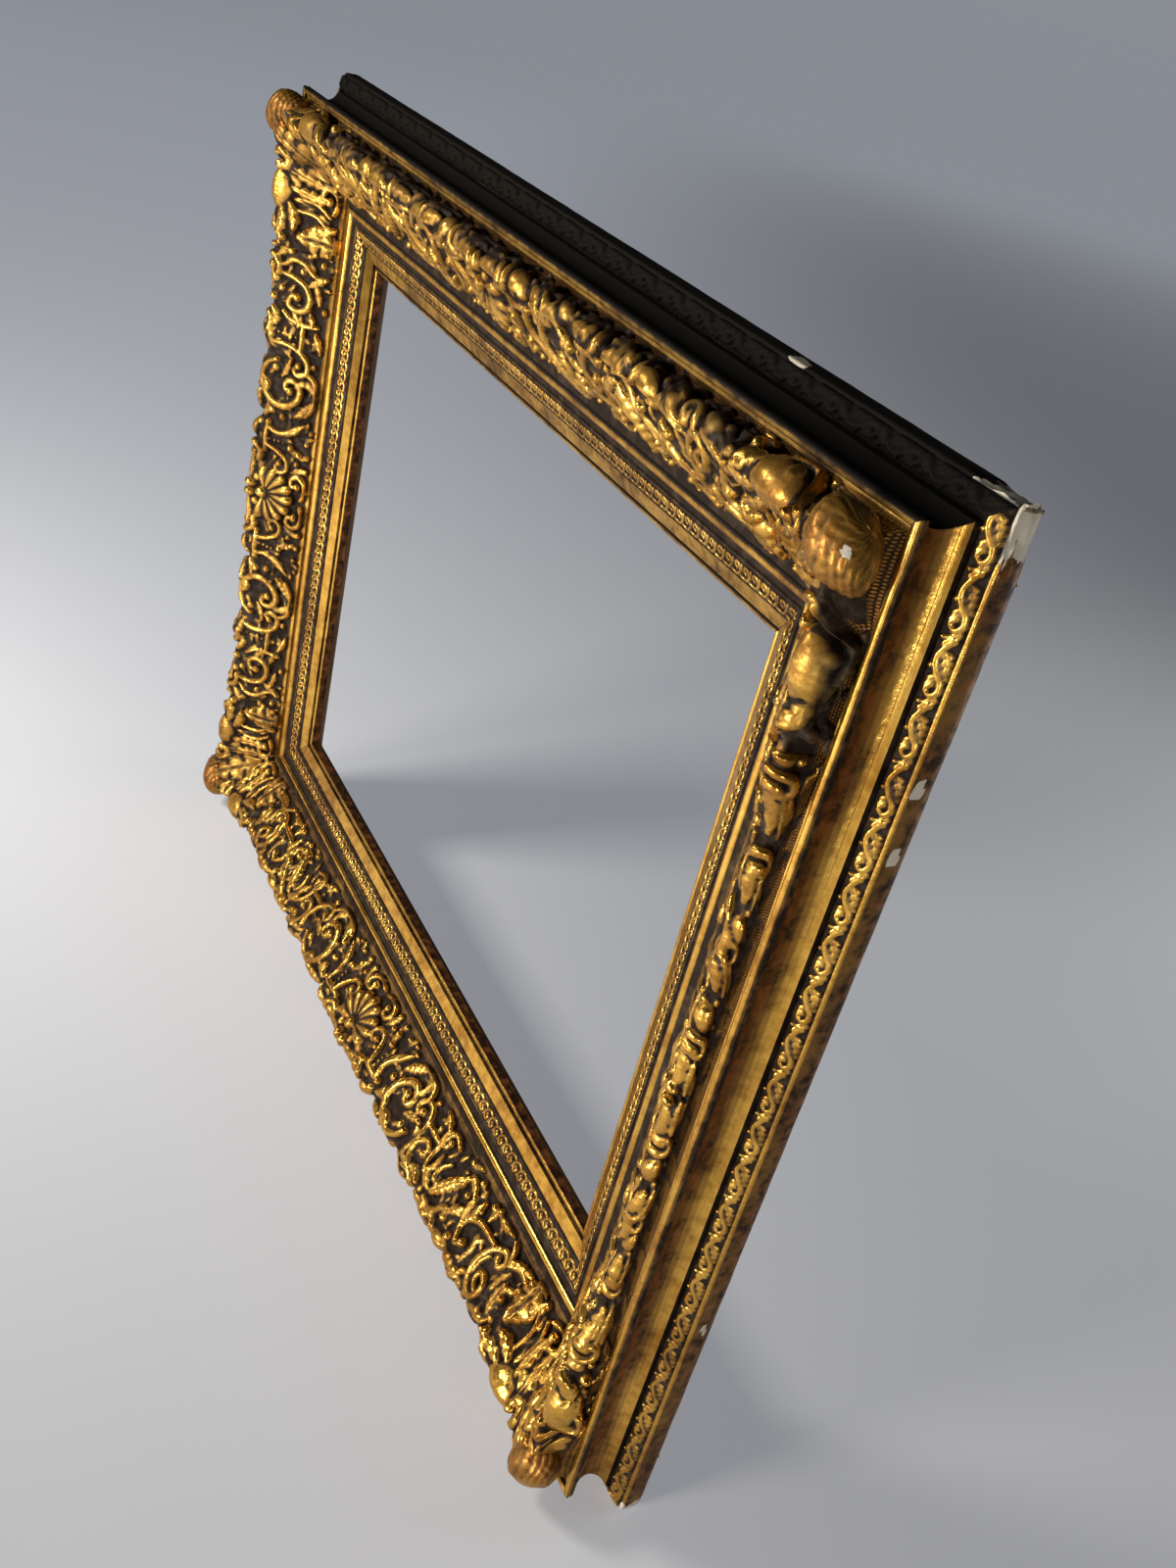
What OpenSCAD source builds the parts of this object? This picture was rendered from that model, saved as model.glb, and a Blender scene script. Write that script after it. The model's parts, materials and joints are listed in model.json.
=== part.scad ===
// Gilded picture frame in four mitred members, with a sight slip, a broad sloping bed of cast
// ornament, a deep side cove and a back rail. The section is drawn in o, outward from the sight
// edge, and h, forward from the wall. The origin is the middle of the top rail's back face.

/* [Sight and rebate] */
// Width of the sight opening
sight_w = 600; // [460:1:900]
// Height of the sight opening
sight_h = 444; // [400:1:700]
// Reach of the rebate past the sight edge
rebate_w = 8; // [6:0.5:10]
// Depth of the rebate behind the lip
rebate_d = 7; // [5:0.5:10]
// Thickness of the lip that the picture rests on
lip_t = 6; // [4:0.5:8]
// Room between the rebate's back and the wall
button_room = 4.5; // [4:0.1:7]

/* [Sight slip] */
// Width of the slip
slip_w = 13.5; // [12:0.5:18]
// Rise of the slip's plain gold flat
slip_rise = 6.5; // [4:0.5:8]
// Radius of the bead on the sight edge
nose_r = 1.7; // [1:0.1:2]
// Width of the quirk behind the bead
quirk_w = 1.4; // [0.8:0.1:2]

/* [Inner bands] */
// Width of the sloping band under the running scroll
leaf_w = 15; // [12:0.5:18]
// Rise of that band
leaf_rise = 6; // [4:0.5:8]
// Width of the sanded slope outside it
speck_w = 4.5; // [3:0.5:7]
// Rise of that slope
speck_rise = 1.5; // [0.5:0.5:3]
// Radius of the plain torus
torus_r = 3.6; // [2.5:0.1:4.5]
// Width of the sanded flat
sand_w = 6; // [4:0.5:9]
// Width of the small rise from that flat to the bed
step_w = 2.8; // [2:0.1:4]
// Height of that rise
step_rise = 1.5; // [1:0.1:2.5]

/* [Ornament bed and edge] */
// Width of the bed, seen from the front
bed_run = 54.5; // [48:0.5:70]
// Rise of the bed from its inner to its outer edge
bed_rise = 18.5; // [14:0.5:24]
// Radius of the outer bead of the front edge
edge_r = 2.6; // [2:0.1:3.5]
// Width of the small fillet inside that bead
edge_fillet_w = 2.2; // [1.5:0.1:3]
// Height of that fillet over the bed
edge_fillet_h = 2; // [1:0.1:2.5]
// Radius of the side cove
cove_r = 14; // [12:0.5:16]
// Depth of the side cove
cove_depth = 7; // [5:0.5:9]
// Height of the cove's foot
foot_h = 6; // [4:0.5:8]

/* [Back rail] */
// Width of the back rail's seat
rail_seat_w = 27; // [20:1:32]
// Dark gap between the cove's foot and the rail
shadow_gap = 1.2; // [0.6:0.1:2]
// Width of the rail's face outside the gap
rail_face_w = 11.4; // [10:0.2:14]
// Fall of that face
rail_fall = 5.6; // [3:0.2:7]
// Height of the face's inner edge over the seat
rail_lip = 4; // [3:0.2:5]
// Radius of the rail's nose
rail_nose_r = 2; // [1:0.1:3]
// Radius of the rail's worn back edge
rail_round = 13; // [6:0.5:14]
// Height of the seat over the hollow back's floor
seat_step = 6; // [4:0.5:8]
// Width of the block behind the rebate's wall
block_w = 26; // [24:1:30]

/* [Cast strips] */
// Spacing of the rings of the running scroll
ring_pitch = 12; // [10:0.5:16]
// Outer radius of one ring
ring_r = 4.4; // [3.5:0.1:4.8]
// Width of a ring's rim
ring_rim = 1.2; // [0.8:0.1:1.6]
// Spacing of the leaves of the lace band
lace_pitch = 17; // [14:0.5:22]
// Thickness of the strips' ground
strip_t = 0.8; // [0.6:0.1:1.2]
// Relief over that ground
strip_relief = 1.2; // [0.6:0.1:1.6]

/* [Cast ornament] */
// Relief of the ornament at the inner edge of the bed
relief_in = 10; // [7:0.5:12]
// Relief of the ornament at the outer edge of the bed
relief_out = 21; // [16:0.5:22]
// Half thickness of the large scrolls
scroll_r = 2.4; // [1.6:0.1:2.8]
// Half thickness of the small scrolls and straps
strap_r = 1.5; // [1:0.1:1.9]
// Radius of the large pearls
pearl_r = 3; // [2:0.1:3.6]
// Outer radius of the round medallions
medal_r = 23; // [19:0.5:24]
// Reach of a centre shell's ribs
shell_r = 31; // [26:0.5:33]
// Length of the leaf boss beside each corner
boss_len = 34; // [28:0.5:38]
// Width of the long leaf on a corner's mitre
crest_w = 44; // [36:0.5:48]
// Height of the long leaf's end over the mitre
crest_h = 32; // [26:0.5:36]
// Radius of the curled leaf tip on a corner
tip_r = 17; // [14:0.5:18]

/* [Fittings] */
// Length of a turn button
button_len = 36; // [32:1:40]
// Width of a turn button
button_w = 11; // [9:0.5:13]
// Thickness of a turn button
button_t = 1.8; // [1.2:0.1:2.2]
// Distance of a button's screw from the rebate's wall
button_set = 14; // [12:0.5:16]
// Radius of the buttons' screws
screw_r = 1.8; // [1.2:0.1:2]
// Height of a screw's head
screw_head_h = 1.4; // [1:0.1:1.6]
// Radius of the hanging rings, to the middle of the wire
ring_big_r = 9.5; // [8:0.5:11]
// Radius of the rings' and eyes' wire
wire_r = 1.2; // [1:0.1:1.5]
// Radius of a screw eye, to the middle of the wire
eye_r = 4; // [3.6:0.1:4.4]
// Height of the screw eyes over the middle of the sight
eye_up = 115; // [60:1:150]
// Length of a corner key
key_len = 46; // [34:1:56]
// Width of a corner key
key_w = 12; // [9:0.5:15]
// Thickness of a corner key
key_t = 5; // [3:0.5:7]

/* [Hidden] */

// Running clearance of the buttons and the rings
clear = 0.3;
// Sliding clearance of screws and keys in the wood
snug = 0.05;
// Overrun of every cut
over = 1;
$fn = 48;

// Sides are numbered clockwise from the front: top, right, bottom, left
TOP = 0;
RIGHT = 1;
BOTTOM = 2;
LEFT = 3;
function half_along(side) = (side % 2 == 0 ? sight_w : sight_h) / 2;
function half_across(side) = (side % 2 == 0 ? sight_h : sight_w) / 2;

// Section lines, worked out from the sight edge outward
seat_back = button_room + rebate_d;
lip_h = seat_back + lip_t;
leaf_o = slip_w;
leaf_base_h = lip_h + slip_rise;
speck_o = leaf_o + leaf_w;
speck_h = leaf_base_h + leaf_rise;
torus_o = speck_o + speck_w + torus_r;
torus_h = speck_h + speck_rise;
sand_share = 0.85;
wall_share = 0.92;
sand_o = torus_o + torus_r * wall_share;
sand_h = torus_h + torus_r * sand_share;
bed_o = sand_o + sand_w + step_w;
bed_h = sand_h + step_rise;
bed_tilt = atan2(bed_rise, bed_run);
bed_width = norm([bed_run, bed_rise]);
fillet_o = bed_o + bed_run;
fillet_h = bed_h + bed_rise;
edge_o = fillet_o + edge_fillet_w + 2 * edge_r;
edge_top = fillet_h + edge_fillet_h + edge_r;
floor_h = lip_h;
seat_h = floor_h + seat_step;
cove_h = seat_h + foot_h + sqrt(cove_r * cove_r - (cove_r - cove_depth) * (cove_r - cove_depth));
rail_in = edge_o - rail_seat_w;
rail_gap_o = edge_o + shadow_gap;
rail_out = rail_gap_o + rail_face_w;
rail_front_h = seat_h + rail_lip;
hang_drop = sight_h / 2 + (rail_in + rail_out - rail_round) / 2;

// A member lies along X in its own frame, with o along Y and h along Z
module at_side(side) {
    translate([0, 0, -hang_drop]) rotate([90, 0, 0]) rotate([0, 0, -90 * side])
        translate([0, half_across(side), 0]) children();
}

// A corner's frame has its zero at the sight corner and both members running away from it
module at_corner(side) {
    at_side(side) translate([half_along(side), 0, 0]) children();
}

// Prism of one member between its two mitres, from o = near to o = far
module mitre_block(side, near, far, low, high) {
    half = half_along(side);
    translate([0, 0, low]) linear_extrude(high - low)
        polygon([[-half - near, near], [half + near, near], [half + far, far], [-half - far, far]]);
}

// A section swept along one member and cut at the mitres
module member(side, near, far, low, high) {
    reach = half_along(side) + far + over;
    intersection() {
        rotate([90, 0, 90]) translate([0, 0, -reach]) linear_extrude(2 * reach) children();
        mitre_block(side, near - over, far + over, low - over, high);
    }
}

// Section of the sight slip, with its bead, quirk and plain flat
module slip_section() {
    bead_o = nose_r;
    flat_o = 2 * nose_r + quirk_w;
    flat_rise_share = 0.45;
    inset_share = 0.15;
    seat_gap = 2 * clear;
    union() {
        polygon([[nose_r * inset_share, seat_back], [rebate_w - seat_gap, seat_back],
            [rebate_w - seat_gap, seat_back + seat_gap], [slip_w, seat_back + seat_gap],
            [slip_w, leaf_base_h], [flat_o, lip_h + slip_rise * flat_rise_share],
            [flat_o, lip_h], [nose_r * inset_share, lip_h]]);
        translate([bead_o, lip_h]) circle(nose_r);
    }
}

// Section of the main moulding without its beads: shelf, sloping bands, flat, bed, edge and cove
module moulding_section() {
    seat_gap = 2 * clear;
    inset_share = 0.15;
    top = fillet_h + edge_fillet_h;
    wall_o = edge_o - edge_r * inset_share;
    difference() {
        polygon([[rebate_w, button_room], [rebate_w, seat_back + seat_gap],
            [slip_w, seat_back + seat_gap], [slip_w, leaf_base_h], [speck_o, speck_h],
            [speck_o + speck_w, torus_h], [sand_o, torus_h], [sand_o, sand_h],
            [sand_o + sand_w, sand_h], [bed_o, bed_h], [fillet_o, fillet_h],
            [fillet_o, top], [wall_o, top], [wall_o, seat_h], [rail_in, seat_h],
            [rail_in, floor_h], [rebate_w + block_w, floor_h],
            [rebate_w + block_w, button_room]]);
        translate([edge_o + cove_r - cove_depth, cove_h]) circle(cove_r);
    }
}

// Section of the back rail, with its sloping face, nose and worn back edge
module rail_section() {
    nose_h = rail_front_h - rail_fall;
    union() {
        polygon([[rail_in, 0], [rail_out - rail_round, 0], [rail_out - rail_round, seat_h],
            [rail_in, seat_h]]);
        polygon([[rail_out - rail_round, 0], [rail_out, rail_round], [rail_out, nose_h - rail_nose_r],
            [rail_out - rail_nose_r, nose_h], [rail_gap_o, rail_front_h], [rail_gap_o, seat_h],
            [rail_out - rail_round, seat_h]]);
        translate([rail_out - rail_round, rail_round]) intersection() {
            circle(rail_round);
            translate([0, -rail_round]) square(rail_round);
        }
        translate([rail_out - rail_nose_r, nose_h - rail_nose_r]) circle(rail_nose_r);
    }
}

module sight_slip(side) {
    color("#c9a253") at_side(side) member(side, 0, slip_w, 0, leaf_base_h + over) slip_section();
}

module moulding(side) {
    color("#8a6432") at_side(side) difference() {
        union() {
            member(side, rebate_w, edge_o, 0, edge_top + over) moulding_section();
            member(side, rebate_w, edge_o, 0, edge_top + over)
                translate([torus_o, torus_h]) circle(torus_r);
            member(side, rebate_w, edge_o, 0, edge_top + over)
                translate([edge_o - edge_r, edge_top - edge_r]) circle(edge_r);
        }
        for (x = button_places(side)) translate([x, rebate_w + button_set, 0])
            cylinder(h = button_room + screw_depth(), r = screw_r + snug);
        if (side == LEFT || side == RIGHT) translate([eye_x(side), eye_o(), 0])
            cylinder(h = floor_h + eye_depth(), r = wire_r + snug);
    }
}

module back_rail(side) {
    color("#6b4a26") at_side(side) difference() {
        member(side, rail_in, rail_out, 0, rail_front_h + over) rail_section();
        for (end = [0, 1]) mirror([end, 0, 0]) translate([half_along(side), 0, 0]) key_pocket();
    }
}

// Corner keys are let into the back face across the mitre
function key_mid() = (rail_in + rail_out - rail_round) / 2;
module key_bar(length, wide, high) {
    translate([key_mid(), key_mid(), 0]) rotate([0, 0, -45])
        translate([-length / 2, -wide / 2, 0]) cube([length, wide, high]);
}
module key_pocket() {
    translate([0, 0, -over]) key_bar(key_len + 2 * snug, key_w + 2 * snug, key_t + over);
}
module corner_key(side) {
    color("#a07c4c") at_corner(side) translate([0, 0, clear]) key_bar(key_len, key_w, key_t - clear);
}

// Frame of a sloping band that starts at o, h and rises by the given tilt
module on_slope(o, h, tilt) {
    translate([0, o, h]) rotate([tilt, 0, 0]) children();
}

// One unit of the running scroll: an open ring, its pearl and a small leaf on each side
module ring_unit() {
    pearl_share = 0.34;
    leaf_share = 0.42;
    difference() {
        circle(ring_r);
        circle(ring_r - ring_rim);
    }
    circle(ring_r * pearl_share);
    for (turn = [-1, 1]) translate([ring_pitch / 2, turn * ring_r / 2, 0])
        circle(ring_r * leaf_share);
}

module leaf_strip(side) {
    tilt = atan2(leaf_rise, leaf_w);
    width = norm([leaf_w, leaf_rise]);
    margin_share = 0.12;
    margin = width * margin_share;
    half = half_along(side) + leaf_o;
    rings = floor((half - ring_r) / ring_pitch);
    mid = width / 2;
    color("#b98d44") at_side(side) on_slope(leaf_o, leaf_base_h, tilt) {
        linear_extrude(strip_t) polygon([[-half - margin, margin], [half + margin, margin],
            [half + (width - margin) * cos(tilt), width - margin],
            [-half - (width - margin) * cos(tilt), width - margin]]);
        translate([0, mid, strip_t]) linear_extrude(strip_relief)
            for (i = [-rings:rings]) translate([i * ring_pitch, 0]) ring_unit();
    }
}

// One unit of the lace band: a round flower between leaning leaves
module lace_unit(width) {
    flower_share = 0.24;
    leaf_share = 0.16;
    apart_share = 0.2;
    lean_share = 0.3;
    circle(width * flower_share);
    for (turn = [-1, 1], end = [-1, 1])
        translate([end * lace_pitch * lean_share, turn * width * apart_share])
            circle(width * leaf_share);
}

module lace_strip(side) {
    run = rail_face_w - rail_nose_r;
    tilt = -atan2(rail_fall, run);
    width = norm([run, rail_fall]);
    margin_share = 0.08;
    margin = width * margin_share;
    half = half_along(side) + rail_gap_o;
    units = floor((half - lace_pitch) / lace_pitch);
    color("#7d5a2b") at_side(side) on_slope(rail_gap_o, rail_front_h, tilt) {
        linear_extrude(strip_t) polygon([[-half - margin, margin], [half + margin, margin],
            [half + (width - margin) * cos(tilt), width - margin],
            [-half - (width - margin) * cos(tilt), width - margin]]);
        translate([0, width / 2, strip_t]) linear_extrude(strip_relief)
            for (i = [-units:units]) translate([i * lace_pitch, 0]) lace_unit(width);
    }
}

// Mirrors a piece along X or along Y where the hand given for that direction is negative
module flipped(x_hand, y_hand) {
    mirror([x_hand < 0 ? 1 : 0, 0, 0]) mirror([0, y_hand < 0 ? 1 : 0, 0]) children();
}

// Section of a scroll: a straight stem under a half round
module rod_section(thick, high) {
    stem = high - thick;
    translate([-thick, 0]) square([2 * thick, stem]);
    translate([0, stem]) intersection() {
        circle(thick);
        translate([-thick, 0]) square([2 * thick, thick]);
    }
}

// Scroll that stands on the bed, from one angle to another round its centre
module arc_scroll(radius, thick, high, from, to) {
    rotate([0, 0, from]) rotate_extrude(angle = to - from) translate([radius, 0])
        rod_section(thick, high);
}

// Pearl on a stem of its own width
module pearl(radius, high) {
    rotate_extrude() intersection() {
        rod_section(radius, high);
        square([radius, high]);
    }
}

// Straight bar across the bed, with a knob at each end
knob_share = 1.3;
module strap_bar(length, thick, high) {
    rotate([90, 0, 0]) linear_extrude(length, center = true) rod_section(thick, high);
    for (end = [-1, 1]) translate([0, end * length / 2, 0]) pearl(thick * knob_share, high);
}

// Inward curl at the end of an arc, which stops in a pearl
module curl(radius, thick, high, angle, hand) {
    curl_share = 0.24;
    small = radius * curl_share;
    rotate([0, 0, angle]) flipped(0, hand) translate([radius - small, 0, 0]) {
        arc_scroll(small, thick, high, 0, 180);
        translate([-small, 0, 0]) pearl(thick * knob_share, high);
    }
}

// C-scroll, open on the side away from X, with both ends curled inward
module c_scroll(radius, thick, high, spread) {
    arc_scroll(radius, thick, high, -spread / 2, spread / 2);
    for (hand = [-1, 1]) curl(radius, thick, high, hand * spread / 2, hand);
}

// Scroll that winds inward in half turns, each smaller than the last, and ends in a pearl
module volute(radius, thick, high, hand) {
    shrink_share = 0.62;
    small = radius * shrink_share;
    flipped(0, hand) {
        arc_scroll(radius, thick, high, 0, 180);
        translate([small - radius, 0, 0]) {
            arc_scroll(small, thick, high, 180, 360);
            translate([small * (1 - shrink_share), 0, 0]) pearl(thick * knob_share, high);
        }
    }
}

// Places along a leaf, and its half width and height there, as shares of the leaf's sizes
leaf_along_shares = [0, 0.13, 0.25, 0.38, 0.5, 0.63, 0.76, 0.89, 1];
leaf_width_shares = [0.3, 0.78, 0.62, 1, 0.8, 0.94, 0.64, 0.56, 0.14];
leaf_height_shares = [0.55, 0.78, 0.8, 0.92, 0.94, 1, 0.98, 0.9, 0.6];
// Across a leaf: the edge, the flank and the grooved middle, each as width and height shares
leaf_cross_shares = [[-1, 0], [-1, 0.25], [-0.5, 0.94], [0, 0.66], [0.5, 0.94], [1, 0.25], [1, 0]];

// Point on the leaf's middle line, which bends evenly
function spine(length, bend, share) = abs(bend) < 1 ? [length * share, 0]
    : let (turn_r = length * 180 / (PI * bend))
        [turn_r * sin(bend * share), turn_r * (1 - cos(bend * share))];

// Lobed leaf with a grooved middle: it bends to the left and climbs from low to high
module leaf(length, wide, low, high, bend) {
    rows = len(leaf_along_shares);
    cols = len(leaf_cross_shares);
    points = [for (i = [0:rows - 1]) let (along = leaf_along_shares[i],
            mid = spine(length, bend, along), aim = bend * along,
            top = leaf_height_shares[i] * (low + (high - low) * along))
        for (c = leaf_cross_shares) let (off = c[0] * leaf_width_shares[i] * wide / 2)
            [mid[0] - sin(aim) * off, mid[1] + cos(aim) * off, c[1] * top]];
    sides = [for (i = [0:rows - 2], j = [0:cols - 1], half = [0, 1]) let (k = (j + 1) % cols,
            a = i * cols + j, b = i * cols + k, c = a + cols, d = b + cols)
        half == 0 ? [a, b, d] : [a, d, c]];
    first = [for (j = [cols - 1:-1:0]) j];
    last = [for (j = [0:cols - 1]) (rows - 1) * cols + j];
    polyhedron(points, concat(sides, [first, last]));
}

// Places on the bed are shares of its width, from the inner edge outward
module on_bed() {
    on_slope(bed_o, bed_h, bed_tilt) children();
}
function across(share) = bed_width * share;
function relief(share) = relief_in + (relief_out - relief_in) * share;

// Shell on the middle of a member: ribs that fan inward from a pearl, and a C-scroll each side
module centre_shell(side) {
    root_share = 0.82;
    rib_share = 0.34;
    rib_turn = 25;
    ribs = 7;
    guard_share = 0.16;
    guard_x_share = 0.95;
    color("#c79b4e") at_side(side) on_bed() {
        translate([0, across(root_share), 0]) {
            for (i = [0:ribs - 1]) rotate([0, 0, (i - (ribs - 1) / 2) * rib_turn - 90])
                leaf(shell_r, shell_r * rib_share, relief_out, relief_in, 0);
            pearl(pearl_r * knob_share, relief_out + pearl_r);
        }
        for (hand = [-1, 1]) flipped(hand, 0)
            translate([shell_r * guard_x_share, across(guard_share), 0]) rotate([0, 0, 180])
                c_scroll(across(guard_share) - strap_r, strap_r, relief_in, 150);
    }
}

// Round medallion of two facing C-scrolls, with a pearl at each gap and a leaf in the middle
module medallion() {
    spread = 110;
    pearl_place_share = 0.86;
    leaf_long_share = 1.2;
    leaf_wide_share = 0.34;
    high = relief(0.5);
    for (turn = [0, 180]) rotate([0, 0, turn]) {
        c_scroll(medal_r - scroll_r, scroll_r, high, spread);
        translate([0, medal_r * pearl_place_share, 0]) pearl(pearl_r, high);
    }
    translate([0, -medal_r * leaf_long_share / 2, 0]) rotate([0, 0, 90])
        leaf(medal_r * leaf_long_share, medal_r * leaf_wide_share, relief_in, high, 0);
}

// Strap panel: two bars across the bed, a rail that joins them and pearls between
module panel(span) {
    bar_share = 0.6;
    rail_share = 0.12;
    pearls = 3;
    high = relief(0.5) - strap_r;
    for (end = [-1, 1]) translate([end * span / 2, 0, 0])
        strap_bar(across(bar_share), strap_r, high);
    translate([0, -across(rail_share), 0]) rotate([0, 0, 90])
        strap_bar(span, strap_r, high - strap_r);
    for (i = [0:pearls - 1]) translate([0, across(rail_share) * i, 0])
        pearl(strap_r, relief_in);
}

// Spray of three leaves that open from a pearl, between two volutes
module spray() {
    long_share = 0.56;
    wide_share = 0.2;
    root_share = 0.34;
    heart_share = 0.17;
    gap_share = 0.1;
    fan = 55;
    volute_share = 0.13;
    for (turn = [-1, 0, 1]) translate([0, -across(root_share), 0]) rotate([0, 0, 90 + turn * fan])
        translate([across(gap_share), 0, 0])
            leaf(across(long_share), across(wide_share), relief_in, relief(0.7), -turn * fan);
    translate([0, -across(root_share), 0]) pearl(across(heart_share), relief(0.3));
    for (hand = [-1, 1]) flipped(hand, 0)
        translate([across(root_share), -across(volute_share), 0])
            volute(across(volute_share) - strap_r, strap_r, relief_in, -1);
}

// Run of ornament between a centre shell and a corner: panels, medallions and sprays in turn
module scroll_run(side, hand) {
    pitch_want = 85;
    panel_share = 0.19;
    motif_share = 0.67;
    span_share = 0.17;
    start = shell_r + pearl_r;
    run = half_along(side) - scroll_r - boss_len / 3 - start;
    count = max(1, round(run / pitch_want));
    pitch = run / count;
    color("#c0954a") at_side(side) flipped(hand, 0) on_bed() for (i = [0:count - 1])
        translate([start + i * pitch, across(0.5), 0]) {
            translate([pitch * panel_share, 0, 0]) panel(pitch * span_share);
            translate([pitch * motif_share, 0, 0]) if (i % 2 == 0) medallion(); else spray();
        }
}

// Half of a corner ornament, on the member that ends there: boss, side leaf and hooked scroll
module corner_half() {
    boss_x_share = 0.28;
    boss_y_share = 0.06;
    boss_wide_share = 0.6;
    side_share = 0.62;
    side_x_share = 0.58;
    side_wide_share = 0.36;
    hook_share = 0.16;
    on_bed() {
        translate([boss_len * boss_x_share, across(boss_y_share), 0]) rotate([0, 0, 90])
            leaf(boss_len, boss_len * boss_wide_share, relief_in, relief(0.6), 0);
        translate([bed_o * side_x_share, across(boss_y_share), 0]) rotate([0, 0, 70])
            leaf(across(side_share), across(side_share) * side_wide_share, relief_in,
                relief(0.8), 30);
        translate([boss_len * boss_x_share, across(1 - hook_share), 0])
            volute(across(hook_share) - scroll_r, scroll_r, relief(1 - hook_share), 1);
    }
}

// Curled tip of the mitre's leaf: a barrel across the mitre with an eye at each end
module tip_roll() {
    belly_share = 1.9;
    eye_share = 0.42;
    belly = tip_r * belly_share;
    rotate([0, 0, 45]) rotate([90, 0, 0]) {
        rotate_extrude() intersection() {
            translate([tip_r - belly, 0]) circle(belly);
            translate([0, -tip_r]) square([tip_r, 2 * tip_r]);
        }
        translate([0, 0, -tip_r - strap_r])
            cylinder(h = 2 * (tip_r + strap_r), r = tip_r * eye_share);
    }
}

// Long leaf up the mitre, cut to the two beds, with its tip curled into a roll over the edge
module crest() {
    mitre_run = bed_run * sqrt(2);
    mitre_tilt = atan2(bed_rise, mitre_run);
    long_share = 0.88;
    low_share = 0.4;
    big = 3 * bed_width;
    tip_o = fillet_o - edge_fillet_w;
    intersection() {
        translate([bed_o, bed_o, bed_h]) rotate([0, 0, 45]) rotate([0, -mitre_tilt, 0])
            leaf(norm([mitre_run, bed_rise]) * long_share, crest_w, crest_h * low_share, crest_h, 0);
        on_bed() translate([-big / 2, -big / 2, 0]) cube([2 * big, big, big]);
        mirror([1, -1, 0]) on_bed() translate([-big / 2, -big / 2, 0]) cube([2 * big, big, big]);
    }
    translate([tip_o, tip_o, edge_top + tip_r]) tip_roll();
}

module corner(side) {
    color("#c79b4e") at_corner(side) {
        corner_half();
        mirror([1, -1, 0]) corner_half();
        crest();
    }
}

// Turn buttons lie along the member at rest, clear of the rebate
spread_share = 0.55;
function button_places(side) = side % 2 == 0
    ? [-half_along(side) * spread_share, half_along(side) * spread_share] : [0];
function screw_depth() = block_w / 3;
module turn_button(side, x) {
    low = button_room - clear - button_t;
    color("#b08d46") at_side(side) translate([x, rebate_w + button_set, low]) difference() {
        linear_extrude(button_t) union() {
            square([button_len - button_w, button_w], center = true);
            for (end = [-1, 1]) translate([end * (button_len - button_w) / 2, 0])
                circle(button_w / 2);
        }
        translate([0, 0, -over]) cylinder(h = button_t + 2 * over, r = screw_r + clear);
    }
}

module button_screws() {
    head_low = button_room - 2 * clear - button_t - screw_head_h;
    color("#9a9a96") for (side = [TOP, RIGHT, BOTTOM, LEFT]) at_side(side)
        for (x = button_places(side)) translate([x, rebate_w + button_set, head_low]) {
            cylinder(h = screw_head_h, r = 2 * screw_r);
            cylinder(h = button_room - head_low + screw_depth(), r = screw_r);
        }
}

// Screw eyes stand in the hollow back of the side members
function eye_x(side) = side == LEFT ? eye_up : -eye_up;
function eye_o() = (rebate_w + block_w + rail_in) / 2;
function eye_depth() = 2 * eye_r;
eye_mid_h = floor_h - eye_r - wire_r;
// Drop of the ring's wire below the middle of the eye
ring_seat = eye_r - 2 * wire_r - clear;

module at_eye(side) {
    out = side == LEFT ? -1 : 1;
    translate([out * (half_across(side) + eye_o()), -eye_mid_h, eye_up - hang_drop]) children();
}

module screw_eye(side) {
    color("#8f7a45") at_eye(side) {
        rotate([0, 90, 0]) rotate_extrude() translate([eye_r, 0]) circle(wire_r);
        rotate([90, 0, 0]) translate([0, 0, eye_r])
            cylinder(h = wire_r + eye_depth(), r = wire_r);
    }
}

module hanging_ring(side) {
    color("#b08d46") at_eye(side) translate([0, 0, -ring_seat - ring_big_r])
        rotate([90, 0, 0]) rotate_extrude() translate([ring_big_r, 0]) circle(wire_r);
}

sight_slip(TOP);  // sight_slip_top
sight_slip(RIGHT);  // sight_slip_right
sight_slip(BOTTOM);  // sight_slip_bottom
sight_slip(LEFT);  // sight_slip_left
moulding(TOP);  // moulding_top
moulding(RIGHT);  // moulding_right
moulding(BOTTOM);  // moulding_bottom
moulding(LEFT);  // moulding_left
back_rail(TOP);  // back_rail_top
back_rail(RIGHT);  // back_rail_right
back_rail(BOTTOM);  // back_rail_bottom
back_rail(LEFT);  // back_rail_left
leaf_strip(TOP);  // leaf_strip_top
leaf_strip(RIGHT);  // leaf_strip_right
leaf_strip(BOTTOM);  // leaf_strip_bottom
leaf_strip(LEFT);  // leaf_strip_left
lace_strip(TOP);  // lace_strip_top
lace_strip(RIGHT);  // lace_strip_right
lace_strip(BOTTOM);  // lace_strip_bottom
lace_strip(LEFT);  // lace_strip_left
corner(TOP);  // corner_top_right
corner(RIGHT);  // corner_bottom_right
corner(BOTTOM);  // corner_bottom_left
corner(LEFT);  // corner_top_left
centre_shell(TOP);  // shell_top
centre_shell(RIGHT);  // shell_right
centre_shell(BOTTOM);  // shell_bottom
centre_shell(LEFT);  // shell_left
scroll_run(TOP, -1);  // scroll_run_top_a
scroll_run(TOP, 1);  // scroll_run_top_b
scroll_run(RIGHT, -1);  // scroll_run_right_a
scroll_run(RIGHT, 1);  // scroll_run_right_b
scroll_run(BOTTOM, -1);  // scroll_run_bottom_a
scroll_run(BOTTOM, 1);  // scroll_run_bottom_b
scroll_run(LEFT, -1);  // scroll_run_left_a
scroll_run(LEFT, 1);  // scroll_run_left_b
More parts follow.
